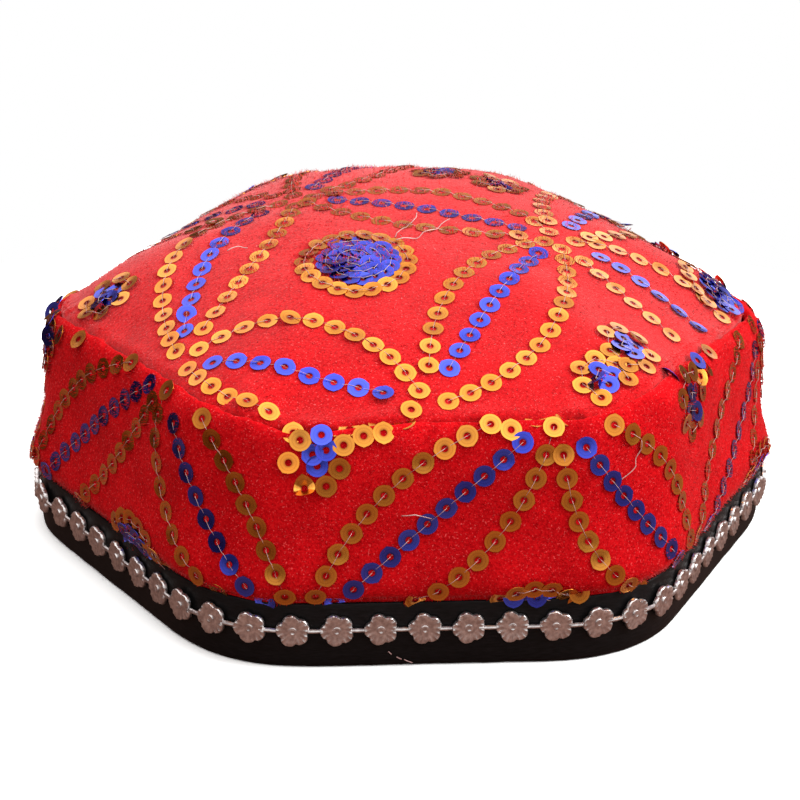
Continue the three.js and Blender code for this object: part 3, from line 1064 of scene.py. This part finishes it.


# %% [markdown]
# Some discs don't lie on the cloth. Where a string runs into the seam its discs stick halfway out of
# it, at the left corner a small flower was gathered into the seam and crumpled, a few discs hang over
# the ribbon, and one in front is curled. They are placed first, one by one, and a string later
# leaves out the discs that would fall on them.

# %% Discs placed one by one
IN_SEAM = 63  # above the wall: the disc then goes to the wall's upper edge
SEAM_DISCS = [  # colour, along the rim, height, how far out, lean back, turn to the side
    ("gold", -33, 57.6, 0.4, 40, 0),
    ("gold", -23, IN_SEAM, -1.5, 76, 8),
    ("gold", -19.5, IN_SEAM, -1.2, 70, -8),
    ("gold", -16.5, 57.2, 0.5, 32, 0),
    ("gold", -12.0, 57.9, 0.5, 36, 6),
    ("gold", -12.8, IN_SEAM, -1.5, 76, 0),
    ("gold", -7, IN_SEAM, -1.6, 78, -10),
    ("gold", 17, 58.2, 0.4, 40, 4),
    ("gold", 23, IN_SEAM, -1.4, 74, 0),
    ("gold", 30, IN_SEAM, -1.6, 78, 12),
    ("gold", 96, 61.0, 0.5, 55, 5),
    ("gold", 91, 58.6, 0.4, 34, 12),
    ("gold", 85.5, 58.2, 0.4, 34, -12),
    ("blue", 88, 61.0, 0.5, 50, 0),
    ("blue", 73, IN_SEAM, -1.0, 60, 45),
    ("blue", -152, 58.2, 0.1, 42, 12),
    ("gold", -141, 58.9, 0.8, 62, -10),
    ("gold", -161, 58.6, -0.7, 68, 20),
    ("blue", -135, 54.6, 1.2, 12, 18),
    ("blue", -141, 54.0, 0.9, 18, -24),
    ("gold", -129, 56.6, 0.6, 26, -16),
    ("blue", -138, 57.2, 0.9, 34, -16),
    ("blue", -147, 57.6, 0.4, 40, 28),
    ("gold", -119, 58.6, 0.7, 44, 0),
    ("blue", 18.5, 17.6, 0.6, 12, 0),
    ("blue", 24, 17.4, 0.6, 12, 6),
    ("gold", 34, 18.2, 0.6, 12, 0),
]
CURLED_DISC = ("gold", -30, 45.6, 1.0, 48, -14)
LIP_STEP = 0.2
BLOOM_APART = 1.5
FRONT_BLOOM = [  # colour, along the rim, height
    ("blue", -26, 57),
    ("blue", -28, 53),
    ("blue", -25, 54),
    ("blue", -27, 50.5),
    ("gold", -31, 56),
    ("gold", -34, 51),
    ("gold", -25, 46),
    ("gold", -22, 50),
    ("gold", -21, 55),
]


def set_disc(colour, along, height, out, lean, turn):
    """Places one given disc against the wall, or in the seam if the height is above the wall."""
    _, (out_x, out_y) = on_rim(along)
    hit = on_wall(along, height)
    while hit is None:
        height -= LIP_STEP
        hit = on_wall(along, height)
    place = hit[0] + out * np.array((out_x, out_y, 0))
    steep = math.radians(lean)
    outward = np.array((out_x * math.cos(steep), out_y * math.cos(steep), math.sin(steep)))
    matrix = frame_at(place, outward, (-out_y, out_x, 0), (0, turn, 0))
    sequin = {"place": place, "matrix": matrix, "outward": outward, "shade": chance.uniform(0, 1)}
    sequin["in_pile"] = False
    placed[colour].append(sequin)
    return sequin


curled = set_disc(*CURLED_DISC)
for disc in SEAM_DISCS:
    set_disc(*disc)
for colour, along, height in FRONT_BLOOM:
    sew(colour, on_wall, [(along, height)], apart=BLOOM_APART)
print("discs placed by hand:", {colour: len(sewn) for colour, sewn in placed.items()})

# %% [markdown]
# The chart of the net. The knots lie on a slanting grid, and some are moved, because the cloth was
# cut and sewn by hand. A leaf runs from one knot to another. Each of its three strings has a bulge
# to the left of that direction, in millimetres, and says where the bulge is fullest.

# %% Leaves on the top
FIRST_KNOT = np.array([-1.0, -76.0])
GRID_LEFT = np.array([-60.0, 24.5])
GRID_BACK = np.array([33.5, 63.5])
MOVED_KNOTS = {(1, 0): (-57.5, -51.5), (1, 1): (-28, 13), (0, 1): (37, -12), (-1, 1): (92, -46)}
PLAIN_LEAF = ((13, 0.5), (0, 0.5), (-13, 0.5))
TOP_LEAVES = [  # from knot, to knot, left string, rib, right string: each a bulge and where it is fullest
    ((0, 0), (1, 0), (13.9, 0.6), (2.4, 1.1), (-13.8, 0.53)),
    ((0, 0), (0, 1), (11.9, 0.55), (1.0, 0.86), (-15.2, 0.39)),
    ((1, 0), (1, 1), (20.2, 0.67), (10.0, 0.7), (-3.7, 0.75)),
    ((1, 1), (0, 1), (13.2, 0.62), (1.0, 0.45), (-10.0, 0.43)),
    ((0, 1), (-1, 1), (18.1, 0.54), (1.9, 0.2), (-13.0, 0.7)),
    ((0, 1), (0, 2), *PLAIN_LEAF),
    ((1, 1), (1, 2), *PLAIN_LEAF),
    ((1, 1), (2, 1), *PLAIN_LEAF),
    ((0, 2), (1, 2), *PLAIN_LEAF),
]
GOLD_ENDS = 4.5  # how far from the knots the gold strings stop
RIB_ENDS = 11.0


def knot(i, j):
    """A knot of the net on the top, in plan."""
    return MOVED_KNOTS.get((i, j), tuple(FIRST_KNOT + i * GRID_LEFT + j * GRID_BACK))


def sew_leaf(spot, start, end, left, rib, right):
    """Sews a leaf's rib and its two sides."""
    sew("blue", spot, curve_places(start, end, *rib, RIB_ENDS, RIB_ENDS, PITCH))
    for side in (left, right):
        sew("gold", spot, curve_places(start, end, *side, GOLD_ENDS, GOLD_ENDS, PITCH))


for start, end, *sides in TOP_LEAVES:
    sew_leaf(on_top, knot(*start), knot(*end), *sides)
print("after the top's leaves:", {colour: len(sewn) for colour, sewn in placed.items()})

# %% Leaves on the wall
WALL_LEAVES = [  # upper knot, lower knot, left string, rib, right string
    ((28, 62.5), (-31, 10), (13.8, 0.52), (-0.7, 0.5), (-12.7, 0.47)),
    ((28, 62.5), (72, 12), (12.7, 0.49), (-1.3, 0.64), (-15.8, 0.6)),
    ((-74, 64), (-31, 10), (9.1, 0.29), (-4.0, 0.52), (-17.2, 0.31)),
    ((-74, 64), (-137, 13), (10.9, 0.9), (-2.7, 0.29), (-14.5, 0.54)),
    ((133, 60), (72, 12), (20.8, 0.42), (7.6, 0.1), (-9.0, 0.36)),
    ((133, 60), (184, 11), *PLAIN_LEAF),
    ((236, 62), (184, 11), *PLAIN_LEAF),
    ((236, 62), (287, 12), *PLAIN_LEAF),
    ((-178, 62), (-137, 13), *PLAIN_LEAF),
    ((-178, 62), (-230, 12), *PLAIN_LEAF),
    ((-282, 62), (-230, 12), *PLAIN_LEAF),
    ((-282, 62), (-334, 12), *PLAIN_LEAF),
]
for start, end, *sides in WALL_LEAVES:
    sew_leaf(on_wall, start, end, *sides)
print("after the wall's leaves:", {colour: len(sewn) for colour, sewn in placed.items()})

# %% Rings and coils
def ring_places(middle, radius, count, wide=1.0, deep=1.0, turn=0.0):
    """Chart places round a ring."""
    turns = turn + np.arange(count) * 2 * math.pi / count
    return np.stack([middle[0] + wide * radius * np.cos(turns), middle[1] + deep * radius * np.sin(turns)], 1)


def coil_places(middle, first, last, step, pitch):
    """Chart places along a flat coil, from its middle outwards."""
    stops, turn = [], 0.0
    while first + step * turn / (2 * math.pi) < last:
        radius = first + step * turn / (2 * math.pi)
        stops.append((middle[0] + radius * math.cos(turn), middle[1] + radius * math.sin(turn)))
        turn += pitch / radius
    return stops


print("a ring of 4:", ring_places((0, 0), 1, 4).round(1).tolist())

# %% Rosettes and small flowers
ROSETTE_COIL = (1.2, 9.6)  # the blue coil's first and last radius
COIL_STEP = 2.5
COIL_PITCH = 3.0
COIL_SEWN = {"tilt": 5, "loose": 3.5, "apart": 1.6}
ROSETTE_RING = 12.7
RING_PITCH = 4.3
RING_SEWN = {"tilt": 4, "loose": 4, "apart": 1.6}
BLOOM_HEART = 2.3
HEART_DISCS = 4
HEART_TURN = 0.4
HEART_SEWN = {"tilt": 6, "loose": 5, "apart": 1.6}
BLOOM_RING = 5.7
BLOOM_DISCS = 7
BLOOM_SEWN = {"tilt": 2, "loose": 4, "apart": 2.2}
TOP_ROSETTES = [(-15, -27), (84, -5), (-41, 57)]
TOP_BLOOMS = [  # place, and the ring's width and depth against a round one
    (40, -69, 1.0, 0.95),
    (47.5, -57.5, 0.95, 1.3),
    (11, 31, 1, 1),
    (26, 24, 1, 1),
    (-76, -11, 1, 1),
    (58, 24, 1, 1),
    (70, 17, 1, 1),
]
WALL_ROSETTES = [(-84, 11.5), (24, 8), (128, 11), (235, 11), (-183, 11), (-258, 11)]
WALL_BLOOMS = [
    (77.5, 54.5, 1.3, 1.25),
    (-139, 52, 1, 1),
    (178, 50, 1, 1),
    (-230, 50, 1, 1),
    (190, 40, 1, 1),
    (-241, 40, 1, 1),
    (284, 48, 1, 1),
]


def sew_rosette(spot, middle):
    """A blue coil of close sequins inside a gold ring."""
    sew("blue", spot, coil_places(middle, *ROSETTE_COIL, COIL_STEP, COIL_PITCH), **COIL_SEWN)
    count = round(2 * math.pi * ROSETTE_RING / RING_PITCH)
    sew("gold", spot, ring_places(middle, ROSETTE_RING, count), **RING_SEWN)


def sew_bloom(spot, x, y, wide, deep):
    """A small flower: seven gold sequins round four blue ones."""
    heart = ring_places((x, y), BLOOM_HEART, HEART_DISCS, wide, deep, HEART_TURN)
    sew("blue", spot, heart, **HEART_SEWN)
    sew("gold", spot, ring_places((x, y), BLOOM_RING, BLOOM_DISCS, wide, deep), **BLOOM_SEWN)


for middle in TOP_ROSETTES:
    sew_rosette(on_top, middle)
for middle in WALL_ROSETTES:
    sew_rosette(on_wall, middle)
for bloom in TOP_BLOOMS:
    sew_bloom(on_top, *bloom)
for bloom in WALL_BLOOMS:
    sew_bloom(on_wall, *bloom)
print("all sequins:", {colour: len(sewn) for colour, sewn in placed.items()})

# %% [markdown]
# The foil is metal under a clear lacquer. One even colour would do for a small disc, but up close its
# embossed relief shows rings of light and shade, darkest round the hole and at the cut edge. These are
# painted shade: the colour follows the distance from the disc's middle, which was kept with its points.

# %% Foil finish
# painted shade: rings of the disc's relief, darkest round the hole and at the cut edge
PAINTED_RING_SHADE = [  # how far out on the disc, and how much of the colour is left there
    (0.32, (0.50, 0.40, 0.40, 1)),
    (0.42, (0.80, 0.72, 0.72, 1)),
    (0.56, (0.92, 0.90, 0.90, 1)),
    (0.66, (0.80, 0.74, 0.74, 1)),
    (0.78, (1, 1, 1, 1)),
    (0.92, (0.98, 0.96, 0.96, 1)),
    (1.0, (0.42, 0.30, 0.28, 1)),
]
CRINKLE_GRAIN = 700.0


def foil_material(name, dull, bright):
    """Thin metal foil under a clear lacquer, with painted shade in rings across each disc. The discs differ
    a little in depth of colour.
    """
    material = new_material(
        name, {"Metallic": 1.0, "Roughness": 0.24, "Coat Weight": 0.3, "Coat Roughness": 0.12}
    )
    tree = material.node_tree
    shade = add_node(tree, "ShaderNodeAttribute", attribute_name="shade")
    colour = add_node(tree, "ShaderNodeMix", {MIX_A: dull, MIX_B: bright}, data_type="RGBA")
    tree.links.new(shade.outputs["Fac"], colour.inputs[0])
    across = add_node(tree, "ShaderNodeAttribute", attribute_name="across")
    # painted shade in rings across the disc
    painted_shading = ramp(tree, across.outputs["Fac"], PAINTED_RING_SHADE)
    paint(tree, multiplied(tree, colour.outputs[MIXED], painted_shading))
    raise_bumps(tree, grain(tree, CRINKLE_GRAIN), 0.25, 0.06)
    return material


FOILS = {
    "gold": foil_material("gold foil", (0.80, 0.28, 0.03, 1), (0.90, 0.38, 0.055, 1)),
    "blue": foil_material("blue foil", (0.05, 0.07, 0.70, 1), (0.08, 0.12, 0.90, 1)),
}
for colour, sewn in placed.items():
    level = [s for s in sewn if s is not curled]
    matrices, shades = [s["matrix"] for s in level], [s["shade"] for s in level]
    piece = joined_copies(f"{colour}_sequins", SEQUIN, matrices, shades)
    ready(piece, FOILS[colour], f"{colour}_sequins")
    print(piece.name, len(level), "discs,", len(piece.data.polygons), "faces")

# %% The curled disc
CURL = 0.32  # how strongly it is bent

bent_points = SEQUIN[0].copy()
bent_points[:, 2] += CURL * bent_points[:, 1] ** 2
curled_sequin = joined_copies("curled_sequin", (bent_points, SEQUIN[1]), [curled["matrix"]], [1.0])
ready(curled_sequin, FOILS["gold"], "gold_sequins")
print("curled disc at", curled["place"].round(1))

# %% [markdown]
# ## Thread and loose fibres
#
# A clear thread comes up through each hole, lies over the disc to its edge and dips under the next
# disc. A few fibres of lint and loose thread lie on the cloth. Curves with a bevel would do, but
# hundreds of them are heavy, so thin four-sided tubes are made straight from arrays.

# %% Thin tubes
THREAD_SIDES = 4
ASKEW = (0.31, 0.17, 0.93)  # no thread or hair runs just this way


def tube_mesh(name, paths, radius):
    """One object of thin closed tubes that follow these lists of points, in mm."""
    points, faces = [], []
    for path in paths:
        path = np.asarray(path, float)
        base = len(points)
        steps = np.gradient(path, axis=0)
        for place, step in zip(path, steps):
            along = unit(step)
            side = unit(np.cross(along, ASKEW))
            rise = np.cross(side, along)
            for k in range(THREAD_SIDES):
                turn = 2 * math.pi * k / THREAD_SIDES
                points.append(place + radius * (math.cos(turn) * side + math.sin(turn) * rise))
        for i in range(len(path) - 1):
            for k in range(THREAD_SIDES):
                a, b = base + i * THREAD_SIDES + k, base + i * THREAD_SIDES + (k + 1) % THREAD_SIDES
                faces.append([a, b, b + THREAD_SIDES, a + THREAD_SIDES])
        last = base + (len(path) - 1) * THREAD_SIDES
        faces.append([base + k for k in reversed(range(THREAD_SIDES))])
        faces.append([last + k for k in range(THREAD_SIDES)])
    mesh = bpy.data.meshes.new(name)
    mesh.from_pydata(np.array(points) * MM, [], faces)
    piece = bpy.data.objects.new(name, mesh)
    bpy.context.scene.collection.objects.link(piece)
    choose(piece)
    bpy.ops.object.mode_set(mode="EDIT")
    bpy.ops.mesh.select_all(action="SELECT")
    bpy.ops.mesh.normals_make_consistent()
    bpy.ops.object.mode_set(mode="OBJECT")
    bpy.ops.object.shade_smooth()
    return piece


# %% Stitches from disc to disc
THREAD_RADIUS = 0.07
SHORTEST_STITCH = 2.0
LONGEST_STITCH = 8.5
STITCH_DEPTH = 0.3  # it starts and ends this far below the middle of a disc
STITCH_OVER = [  # share of the way to the disc's edge, and height over the disc
    (0.0, 0.22),
    (0.6, 0.3),
    (1.0, 0.42),
]
STITCH_DIP = (0.7, 0.05)  # how far past the edge it comes down, and its height there
# painted shine: for the clear thread, its gleam and the red seen through it; for the loose fibres and ribbon
# stitches, their own pale colour
PAINTED_THREAD_SHINE = [(0.3, (0.36, 0.16, 0.15, 1)), (0.7, (0.76, 0.56, 0.53, 1))]
THREAD_SHINE_GRAIN = 300.0


def stitch(sequin, following):
    """The thread from one sequin's hole over its edge to the next one's hole."""
    here, there = sequin["matrix"], following["matrix"]
    centre, target = here[:3, 3] / MM, there[:3, 3] / MM
    outward = here[:3, 2] / MM
    heading = unit(target - centre)
    over = [centre + heading * SEQUIN_RADIUS * share + outward * height for share, height in STITCH_OVER]
    past, low = STITCH_DIP
    dip = centre + heading * (SEQUIN_RADIUS + past) + outward * low
    return [centre - outward * STITCH_DEPTH, *over, dip, target - there[:3, 2] / MM * STITCH_DEPTH]


stitches = []
for string in strings:
    for sequin, following in zip(string, string[1:]):
        apart = np.linalg.norm(sequin["place"] - following["place"])
        if SHORTEST_STITCH < apart < LONGEST_STITCH:
            stitches.append(stitch(sequin, following))


def thread_material():
    """Clear nylon thread, painted pale pinkish for its gleam and the red cloth seen through it."""
    material = new_material("clear thread", {"Roughness": 0.3, "Specular IOR Level": 0.6})
    tree = material.node_tree
    paint(tree, ramp(tree, grain(tree, THREAD_SHINE_GRAIN), PAINTED_THREAD_SHINE))
    return material


CLEAR_THREAD = thread_material()
sequin_thread = tube_mesh("sequin_thread", stitches, THREAD_RADIUS)
ready(sequin_thread, CLEAR_THREAD, "sequin_thread")
print("stitches:", len(stitches), "faces:", len(sequin_thread.data.polygons))

# %% Loose fibres
FIBRE_RADIUS = 0.13
FIBRE_LIFT = 0.7
FIBRE_STEPS = 6  # from one place to the next
FIBRE_BOW = 0.5  # how much it rises and falls against its lift
FIBRE_WAVES = 2.4
FIBRES_ON_TOP = [  # the branching fibre near the middle, and lint, as places in plan
    [(2, -2), (1.6, -5), (-0.5, -8), (-1.6, -11.5), (-4, -14), (-4.6, -16)],
    [(-4.6, -18), (-1.5, -17.5), (1, -16.4), (2.6, -14), (6, -11.6), (7.6, -8), (10, -6)],
    [(-46, -13), (-43, -12.4), (-41, -13)],
]
FIBRES_ON_WALL = [
    [(51, 53), (50.4, 51), (49.2, 49), (48.6, 47.4), (46, 45.6), (43, 44)],
    [(-8, 39), (-5, 39.3), (-1, 38)],
]
RIBBON_STITCHES = [  # a few stitches of pale thread at the ribbon's fold
    [(-10.4, 4.2), (-9.7, 3.5)],
    [(-8.5, 2.7), (-7.3, 2.1)],
    [(-6.7, 1.9), (-4.7, 1.0)],
]
STITCH_LIFT = 0.25


def fibre_path(spot, chart, height=FIBRE_LIFT):
    """A smooth path a little above the cloth through chart places."""
    chart = np.array(chart, float)
    stops = np.linspace(0, len(chart) - 1, FIBRE_STEPS * len(chart))
    knots = np.arange(len(chart))
    lift = height * (1 + FIBRE_BOW * np.sin(stops * FIBRE_WAVES))
    places = []
    for a, b, rise in zip(np.interp(stops, knots, chart[:, 0]), np.interp(stops, knots, chart[:, 1]), lift):
        place, outward = rest_place(spot, a, b)
        places.append(place + outward * rise)
    return places


fibre_paths = [fibre_path(on_top, chart) for chart in FIBRES_ON_TOP]
fibre_paths += [fibre_path(on_wall, chart) for chart in FIBRES_ON_WALL]
fibre_paths += [fibre_path(on_ribbon, chart, STITCH_LIFT) for chart in RIBBON_STITCHES]
loose_fibres = tube_mesh("loose_fibres", fibre_paths, FIBRE_RADIUS)
ready(loose_fibres, CLEAR_THREAD, "sequin_thread")
print("loose fibres:", len(fibre_paths))

# %% [markdown]
# ## Pile
#
# The velvet's shader gives its colour, but from a low angle the eye meets the hairs of the pile
# themselves, and they half cover the discs that lie among them. Blender can grow hair on a surface,
# but the finished piece has to be a plain mesh, so short closed spikes are strewn over the outside of
# the cloth from arrays. They lean the way the pile was brushed. More of them stand close round each
# disc, and where the pile stands up they are longer and lean in over its edge.

# %% Where hairs grow
HAIRS = 22000  # strewn over each velvet piece
WALL_FACING = 0.3  # the outside of the wall faces away from the middle at least this much
TOP_UPWARD = 0.15  # and the outside of the top faces up at least this much
FRINGE_HEIGHTS = (17.5, 18.4)  # the ribbon's upper edge


def outer_triangles(piece, is_wall):
    """The triangles on the outside of a cloth piece, in mm."""
    piece.data.calc_loop_triangles()
    corners = np.empty(len(piece.data.loop_triangles) * 3, dtype=np.int32)
    piece.data.loop_triangles.foreach_get("vertices", corners)
    triangles = positions(piece)[corners.reshape(-1, 3)] / MM
    normals = unit_rows(np.cross(triangles[:, 1] - triangles[:, 0], triangles[:, 2] - triangles[:, 0]))
    middle = triangles.mean(1)
    if is_wall:
        away = unit_rows(middle[:, :2])
        outside = ((normals[:, :2] * away).sum(1) > WALL_FACING) & (middle[:, 2] > FRINGE_HEIGHTS[0])
    else:
        outside = normals[:, 2] > TOP_UPWARD
    return triangles[outside]


def strewn(triangles, count):
    """Random places on triangles, even by area, and the outward direction at each."""
    across = np.cross(triangles[:, 1] - triangles[:, 0], triangles[:, 2] - triangles[:, 0])
    doubled = np.linalg.norm(across, axis=1)
    picks = chance.choice(len(triangles), count, p=doubled / doubled.sum())
    a, b = chance.random((2, count, 1))
    over = a + b > 1
    a, b = np.where(over, 1 - a, a), np.where(over, 1 - b, b)
    first, second, third = np.moveaxis(triangles[picks], 1, 0)
    return first + a * (second - first) + b * (third - first), across[picks] / doubled[picks, None]


print("outside of the top:", len(outer_triangles(velvet_top, False)), "triangles")

# %% The way the pile was brushed
SWINGS = (2.2, 1.7, 1.8)  # how far the brushed direction swings, in radians
MAIN_LEAN = -1.2
DOWN_LEAN = (-0.6, 0.5)


def brushed(places):
    """The sideways direction in which the pile leans. It changes slowly over the cloth, in waves whose
    widths in millimetres stand under x, y and z."""
    x, y, z = places.T
    wide, bent, narrow = SWINGS
    turn = wide * np.sin(x / 19 + bent * np.sin(y / 23)) + narrow * np.sin(y / 15 + z / 11) + MAIN_LEAN
    down, sway = DOWN_LEAN
    return np.stack([np.cos(turn), np.sin(turn), down + sway * np.sin(x / 13 + z / 9)], 1)


print("the middle of the top is brushed towards", brushed(np.zeros((1, 3))).round(2))

# %% Hairs round the discs
HAIRS_A_DISC = 34
DISC_HAIR_LEAN = 0.3
PAST_DISC = 0.4  # how far outside a disc its ring of hairs reaches
OVER_DISC = 0.7  # how far raised hairs lean in over a disc
THROUGH = 0.6  # and how far in over it they stand, against its radius
DISC_CLEAR = 2.3  # no strewn hair grows through a disc


def hairs_round_discs(sequins):
    """Roots close round each disc, the outward direction at each and the way each hair leans: where
    the pile stands up, in over the disc."""
    roots, outwards, leans = [], [], []
    for sequin in sequins:
        axes = sequin["matrix"][:3, :3] / MM
        turns = chance.uniform(0, 2 * math.pi, HAIRS_A_DISC)
        nearest = SEQUIN_RADIUS * (1 - THROUGH * raised(sequin["place"]))
        reach = chance.uniform(nearest, SEQUIN_RADIUS + PAST_DISC, HAIRS_A_DISC)
        ring = (axes @ np.stack([np.cos(turns), np.sin(turns), np.zeros(HAIRS_A_DISC)])).T
        root = ring * reach[:, None] + sequin["root"]
        roots.append(root)
        outwards.append(np.tile(sequin["outward"], (HAIRS_A_DISC, 1)))
        leans.append(DISC_HAIR_LEAN * brushed(root) - OVER_DISC * raised(sequin["place"]) * ring)
    return np.concatenate(roots), np.concatenate(outwards), np.concatenate(leans)


def clear_of_discs(roots, sequins):
    """Which roots are not under a disc. Raised hairs may stand over its edge."""
    clear = np.ones(len(roots), bool)
    for sequin in sequins:
        least = DISC_CLEAR * (1 - THROUGH * raised(sequin["place"]))
        clear &= ((roots - sequin["place"]) ** 2).sum(1) > least**2
    return clear


print("hairs round the discs:", HAIRS_A_DISC * sum(len(sewn) for sewn in placed.values()), "at most")

# %% [markdown]
# A spike's normals are taken mostly from the cloth, or it would shade like a blade and the velvet
# would look like grass. Each hair goes paler from its root outwards, a painted highlight where it
# catches the light, and some are paler than others.

# %% Hair meshes and their finish
HAIR_BASE = 0.12
HAIR_SUNK = 0.12  # how deep in the cloth a spike starts
WILD_LEAN = 0.28
HAIR_LENGTHS = (0.6, 1.3)  # the shortest and longest, against the usual length
TIP_HIGHLIGHT_RANGE = (0.1, 1)
HAIR_NORMAL_SPREAD = 0.3
HAIR_FACES = np.array([[0, 1, 3], [1, 2, 3], [2, 0, 3], [2, 1, 0]])
# painted highlight: the colour goes paler from a hair's root outwards
HAIR_REDS_TO_HIGHLIGHT = [
    (0.0, (0.68, 0.004, 0.008, 1)),
    (0.6, (0.82, 0.012, 0.016, 1)),
    (1.0, (0.92, 0.06, 0.06, 1)),
]


def hair_mesh(name, roots, outwards, leans, length, wider=1.0):
    """One object of closed three-sided spikes."""
    count = len(roots)
    axis = unit_rows(outwards + leans + chance.normal(0, WILD_LEAN, (count, 3)))
    side = unit_rows(np.cross(axis, ASKEW))
    rise = np.cross(axis, side)
    base = [
        roots - outwards * HAIR_SUNK + HAIR_BASE * wider * (math.cos(turn) * side + math.sin(turn) * rise)
        for turn in (0, 2 * math.pi / 3, 4 * math.pi / 3)
    ]
    tips = roots + axis * (length * chance.uniform(*HAIR_LENGTHS, count))[:, None]
    points = np.stack([*base, tips], 1).reshape(-1, 3)
    all_faces = (HAIR_FACES[None] + 4 * np.arange(count)[:, None, None]).reshape(-1, 3)
    mesh = bpy.data.meshes.new(name)
    mesh.from_pydata(points * MM, [], all_faces.tolist())
    # how much painted highlight each hair gets at its outer end
    pale = np.zeros((count, 4))
    pale[:, 3] = chance.uniform(*TIP_HIGHLIGHT_RANGE, count)
    tip_highlight = mesh.attributes.new("tip_highlight", "FLOAT", "POINT")
    tip_highlight.data.foreach_set("value", pale.ravel().astype(np.float32))
    mesh.shade_smooth()
    soft = unit_rows(outwards + chance.normal(0, HAIR_NORMAL_SPREAD, (count, 3)))
    mesh.normals_split_custom_set_from_vertices(np.repeat(soft, 4, axis=0).tolist())
    piece = bpy.data.objects.new(name, mesh)
    bpy.context.scene.collection.objects.link(piece)
    return piece


def pile_material(name, sheen):
    """Red hairs, paler towards their tips as a painted highlight, some more than others."""
    material = new_material(name, {**DULL_PILE, **sheen})
    tip_highlight = add_node(material.node_tree, "ShaderNodeAttribute", attribute_name="tip_highlight")
    paint(material.node_tree, ramp(material.node_tree, tip_highlight.outputs["Fac"], HAIR_REDS_TO_HIGHLIGHT))
    return material


RAISED_PILE = pile_material("red pile, raised", RAISED_SHEEN)
FLAT_PILE = pile_material("red pile, flat", FLAT_SHEEN)
print("pile finishes:", RAISED_PILE.name, "and", FLAT_PILE.name)

# %% Pile on the top and the wall
HAIR_LENGTH = 0.65
HAIR_LEAN = 0.8  # how far a strewn hair reaches sideways, against its height
RAISED_HAIRS = 0.25  # how much longer the hairs are where the pile stands up
TALLER = 1.0  # and how much longer again round a disc

in_pile = [s for sewn in placed.values() for s in sewn if s["in_pile"]]
_, insets, _ = rim_chart(np.array([s["place"] for s in in_pile]))
for cloth, is_wall, finish in ((velvet_top, False, RAISED_PILE), (velvet_wall, True, FLAT_PILE)):
    on_this = [s for s, inset in zip(in_pile, insets) if (inset < SEAM_INSET) == is_wall]
    far_roots, far_outwards = strewn(outer_triangles(cloth, is_wall), HAIRS)
    near_roots, near_outwards, near_leans = hairs_round_discs(on_this)
    roots = np.concatenate([far_roots, near_roots])
    outwards = np.concatenate([far_outwards, near_outwards])
    leans = np.concatenate([HAIR_LEAN * brushed(far_roots), near_leans])
    taller = np.repeat([0, TALLER], [len(far_roots), len(near_roots)])
    clear = clear_of_discs(roots, on_this)
    lengths = HAIR_LENGTH * (1 + (RAISED_HAIRS + taller[clear]) * raised(roots[clear]))
    piece = hair_mesh(f"{cloth.name}_pile", roots[clear], outwards[clear], leans[clear], lengths)
    ready(piece, finish, "velvet")
    print(piece.name, clear.sum(), "hairs,", len(on_this), "discs among them")

# %% [markdown]
# At its edges the pile shows in profile: it hangs a little over the ribbon and over the seam. Two
# rows of the same hairs, all round the hat, soften those lines.

# %% Fringes
FRINGE_HAIRS = 2600
FRINGE_WIDER = 1.5
FRINGE_LEAN = (0.6, 0.4)  # out and down
SEAM_HAIRS = 1200
SEAM_HAIR_INSETS = (8.8, 10.0)
SEAM_LEAN = (1.2, 0.6)


def edge_hairs(name, count, find, lean, wider=1.0):
    """Hairs that hang over an edge all round the hat, rooted where find(along) meets the cloth."""
    lean_out, lean_down = lean
    rooted = []
    for along in np.linspace(0, RIM_LENGTH, count, endpoint=False):
        hit = find(along)
        if hit is not None:
            rooted.append((*hit, (*(on_rim(along)[1] * lean_out), -lean_down)))
    roots, outwards, leans = (np.array(column) for column in zip(*rooted))
    piece = hair_mesh(name, roots, outwards, leans, np.full(len(roots), HAIR_LENGTH), wider)
    ready(piece, FLAT_PILE, "velvet")
    print(name, len(roots), "hairs")


def above_ribbon(along):
    """A place on the wall just above the ribbon."""
    return on_wall(along, chance.uniform(*FRINGE_HEIGHTS))


def beside_seam(along):
    """A place on the top just inside the seam."""
    (x, y), (out_x, out_y) = on_rim(along)
    inset = chance.uniform(*SEAM_HAIR_INSETS)
    return on_top(x - out_x * inset, y - out_y * inset)


edge_hairs("ribbon_fringe", FRINGE_HAIRS, above_ribbon, FRINGE_LEAN, FRINGE_WIDER)
edge_hairs("seam_fringe", SEAM_HAIRS, beside_seam, SEAM_LEAN)
